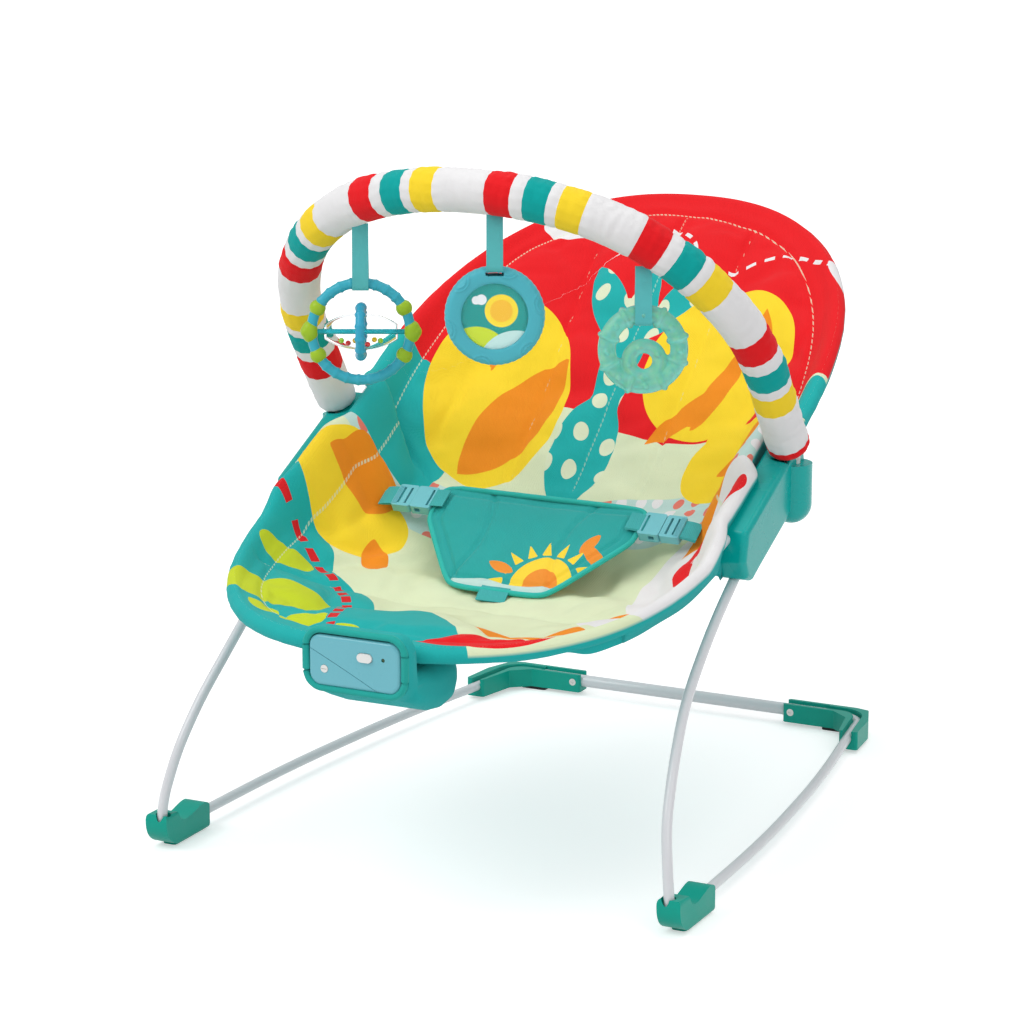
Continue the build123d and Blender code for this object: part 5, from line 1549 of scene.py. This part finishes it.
def build_stage():
    build_floor()
    studio = Graph("Studio", "worlds", "Background")
    bpy.context.scene.world = studio.owner
    seen = studio.add("ShaderNodeLightPath")
    any_view = studio.math("MAXIMUM", seen.outputs["Is Camera Ray"], seen.outputs["Is Transmission Ray"])
    studio.set(Color=(1, 1, 1), Strength=studio.math("MULTIPLY_ADD", any_view, 0.45, 0.55))
    for name, at, size, power in LAMPS:
        lamp = bpy.data.lights.new(name, "AREA")
        lamp.size = size
        lamp.energy = power
        stand(name, lamp, at, Vector((0, 0, 0.25)) - Vector(at))
    camera = bpy.data.cameras.new("view")
    camera.lens = CAMERA_LENS
    camera.sensor_width = 36.0
    level = math.cos(CAMERA_DOWN)
    aim = Vector((-math.sin(CAMERA_AZIMUTH) * level, math.cos(CAMERA_AZIMUTH) * level, -math.sin(CAMERA_DOWN)))
    bpy.context.scene.camera = stand("view", camera, CAMERA_AT, aim)
    bpy.context.scene.view_settings.view_transform = "Standard"


# ------------------------------------------------------------ operators
class BOUNCER_OT_stage(bpy.types.Operator):
    """Lay the floor, hang the studio lights and set up the camera"""

    bl_idname = "bouncer.stage"
    bl_label = "Stage"

    def execute(self, context):
        build_stage()
        return {"FINISHED"}


class BOUNCER_OT_hard_finishes(bpy.types.Operator):
    """Finish the wire, plastic and metal parts"""

    bl_idname = "bouncer.hard_finishes"
    bl_label = "Hard parts"

    def execute(self, context):
        build_hard_finishes()
        return {"FINISHED"}


class BOUNCER_OT_leg_wires(bpy.types.Operator):
    """Make the springing wire of both legs"""

    bl_idname = "bouncer.leg_wires"
    bl_label = "Leg wires"

    def execute(self, context):
        build_leg_wires()
        return {"FINISHED"}


class BOUNCER_OT_cover(bpy.types.Operator):
    """Make the padded printed seat cover"""

    bl_idname = "bouncer.cover"
    bl_label = "Seat cover"

    def execute(self, context):
        build_cover()
        return {"FINISHED"}


class BOUNCER_OT_panel(bpy.types.Operator):
    """Make the padded crotch panel and its piping"""

    bl_idname = "bouncer.panel"
    bl_label = "Crotch panel"

    def execute(self, context):
        build_panel()
        return {"FINISHED"}


class BOUNCER_OT_straps(bpy.types.Operator):
    """Make the webbing of the harness"""

    bl_idname = "bouncer.straps"
    bl_label = "Straps"

    def execute(self, context):
        build_straps()
        return {"FINISHED"}


class BOUNCER_OT_pouch(bpy.types.Operator):
    """Make the cloth pouch round the vibration unit"""

    bl_idname = "bouncer.pouch"
    bl_label = "Pouch"

    def execute(self, context):
        build_pouch()
        return {"FINISHED"}


class BOUNCER_OT_sleeve(bpy.types.Operator):
    """Make the striped padded sleeve of the toy bar"""

    bl_idname = "bouncer.sleeve"
    bl_label = "Toy bar sleeve"

    def execute(self, context):
        build_sleeve()
        return {"FINISHED"}


class BOUNCER_OT_ring_toy(bpy.types.Operator):
    """Make the ring rattle and finish its clear barrel"""

    bl_idname = "bouncer.ring_toy"
    bl_label = "Ring rattle"

    def execute(self, context):
        build_ring_toy()
        return {"FINISHED"}


class BOUNCER_OT_disc_toy(bpy.types.Operator):
    """Make the disc toy and its picture window"""

    bl_idname = "bouncer.disc_toy"
    bl_label = "Disc toy"

    def execute(self, context):
        build_disc_toy()
        return {"FINISHED"}


class BOUNCER_OT_teether(bpy.types.Operator):
    """Make the gel teether"""

    bl_idname = "bouncer.teether"
    bl_label = "Teether"

    def execute(self, context):
        build_teether()
        return {"FINISHED"}


OPERATORS = [
    BOUNCER_OT_stage, BOUNCER_OT_hard_finishes, BOUNCER_OT_leg_wires, BOUNCER_OT_cover, BOUNCER_OT_panel,
    BOUNCER_OT_straps, BOUNCER_OT_pouch, BOUNCER_OT_sleeve, BOUNCER_OT_ring_toy,
    BOUNCER_OT_disc_toy, BOUNCER_OT_teether,
]


class BOUNCER_PT_panel(bpy.types.Panel):
    """Sidebar panel with the seat's sizes, colours and pieces."""

    bl_label = "Bouncer seat"
    bl_idname = "BOUNCER_PT_panel"
    bl_space_type = "VIEW_3D"
    bl_region_type = "UI"
    bl_category = "Bouncer"

    def draw(self, context):
        layout = self.layout
        for group in (context.scene.bouncer_sizes, context.scene.bouncer_colours):
            box = layout.box()
            for name in group.__annotations__:
                box.prop(group, name)
        for operator in OPERATORS:
            layout.operator(operator.bl_idname)


CLASSES = [BouncerSizes, BouncerColours, *OPERATORS, BOUNCER_PT_panel]


def register():
    for cls in CLASSES:
        bpy.utils.register_class(cls)
    bpy.types.Scene.bouncer_sizes = bpy.props.PointerProperty(type=BouncerSizes)
    bpy.types.Scene.bouncer_colours = bpy.props.PointerProperty(type=BouncerColours)


def unregister():
    del bpy.types.Scene.bouncer_colours
    del bpy.types.Scene.bouncer_sizes
    for cls in reversed(CLASSES):
        bpy.utils.unregister_class(cls)


def main():
    register()
    for operator in OPERATORS:
        getattr(bpy.ops.bouncer, operator.bl_idname.split(".")[1])()


if __name__ == "__main__":
    main()
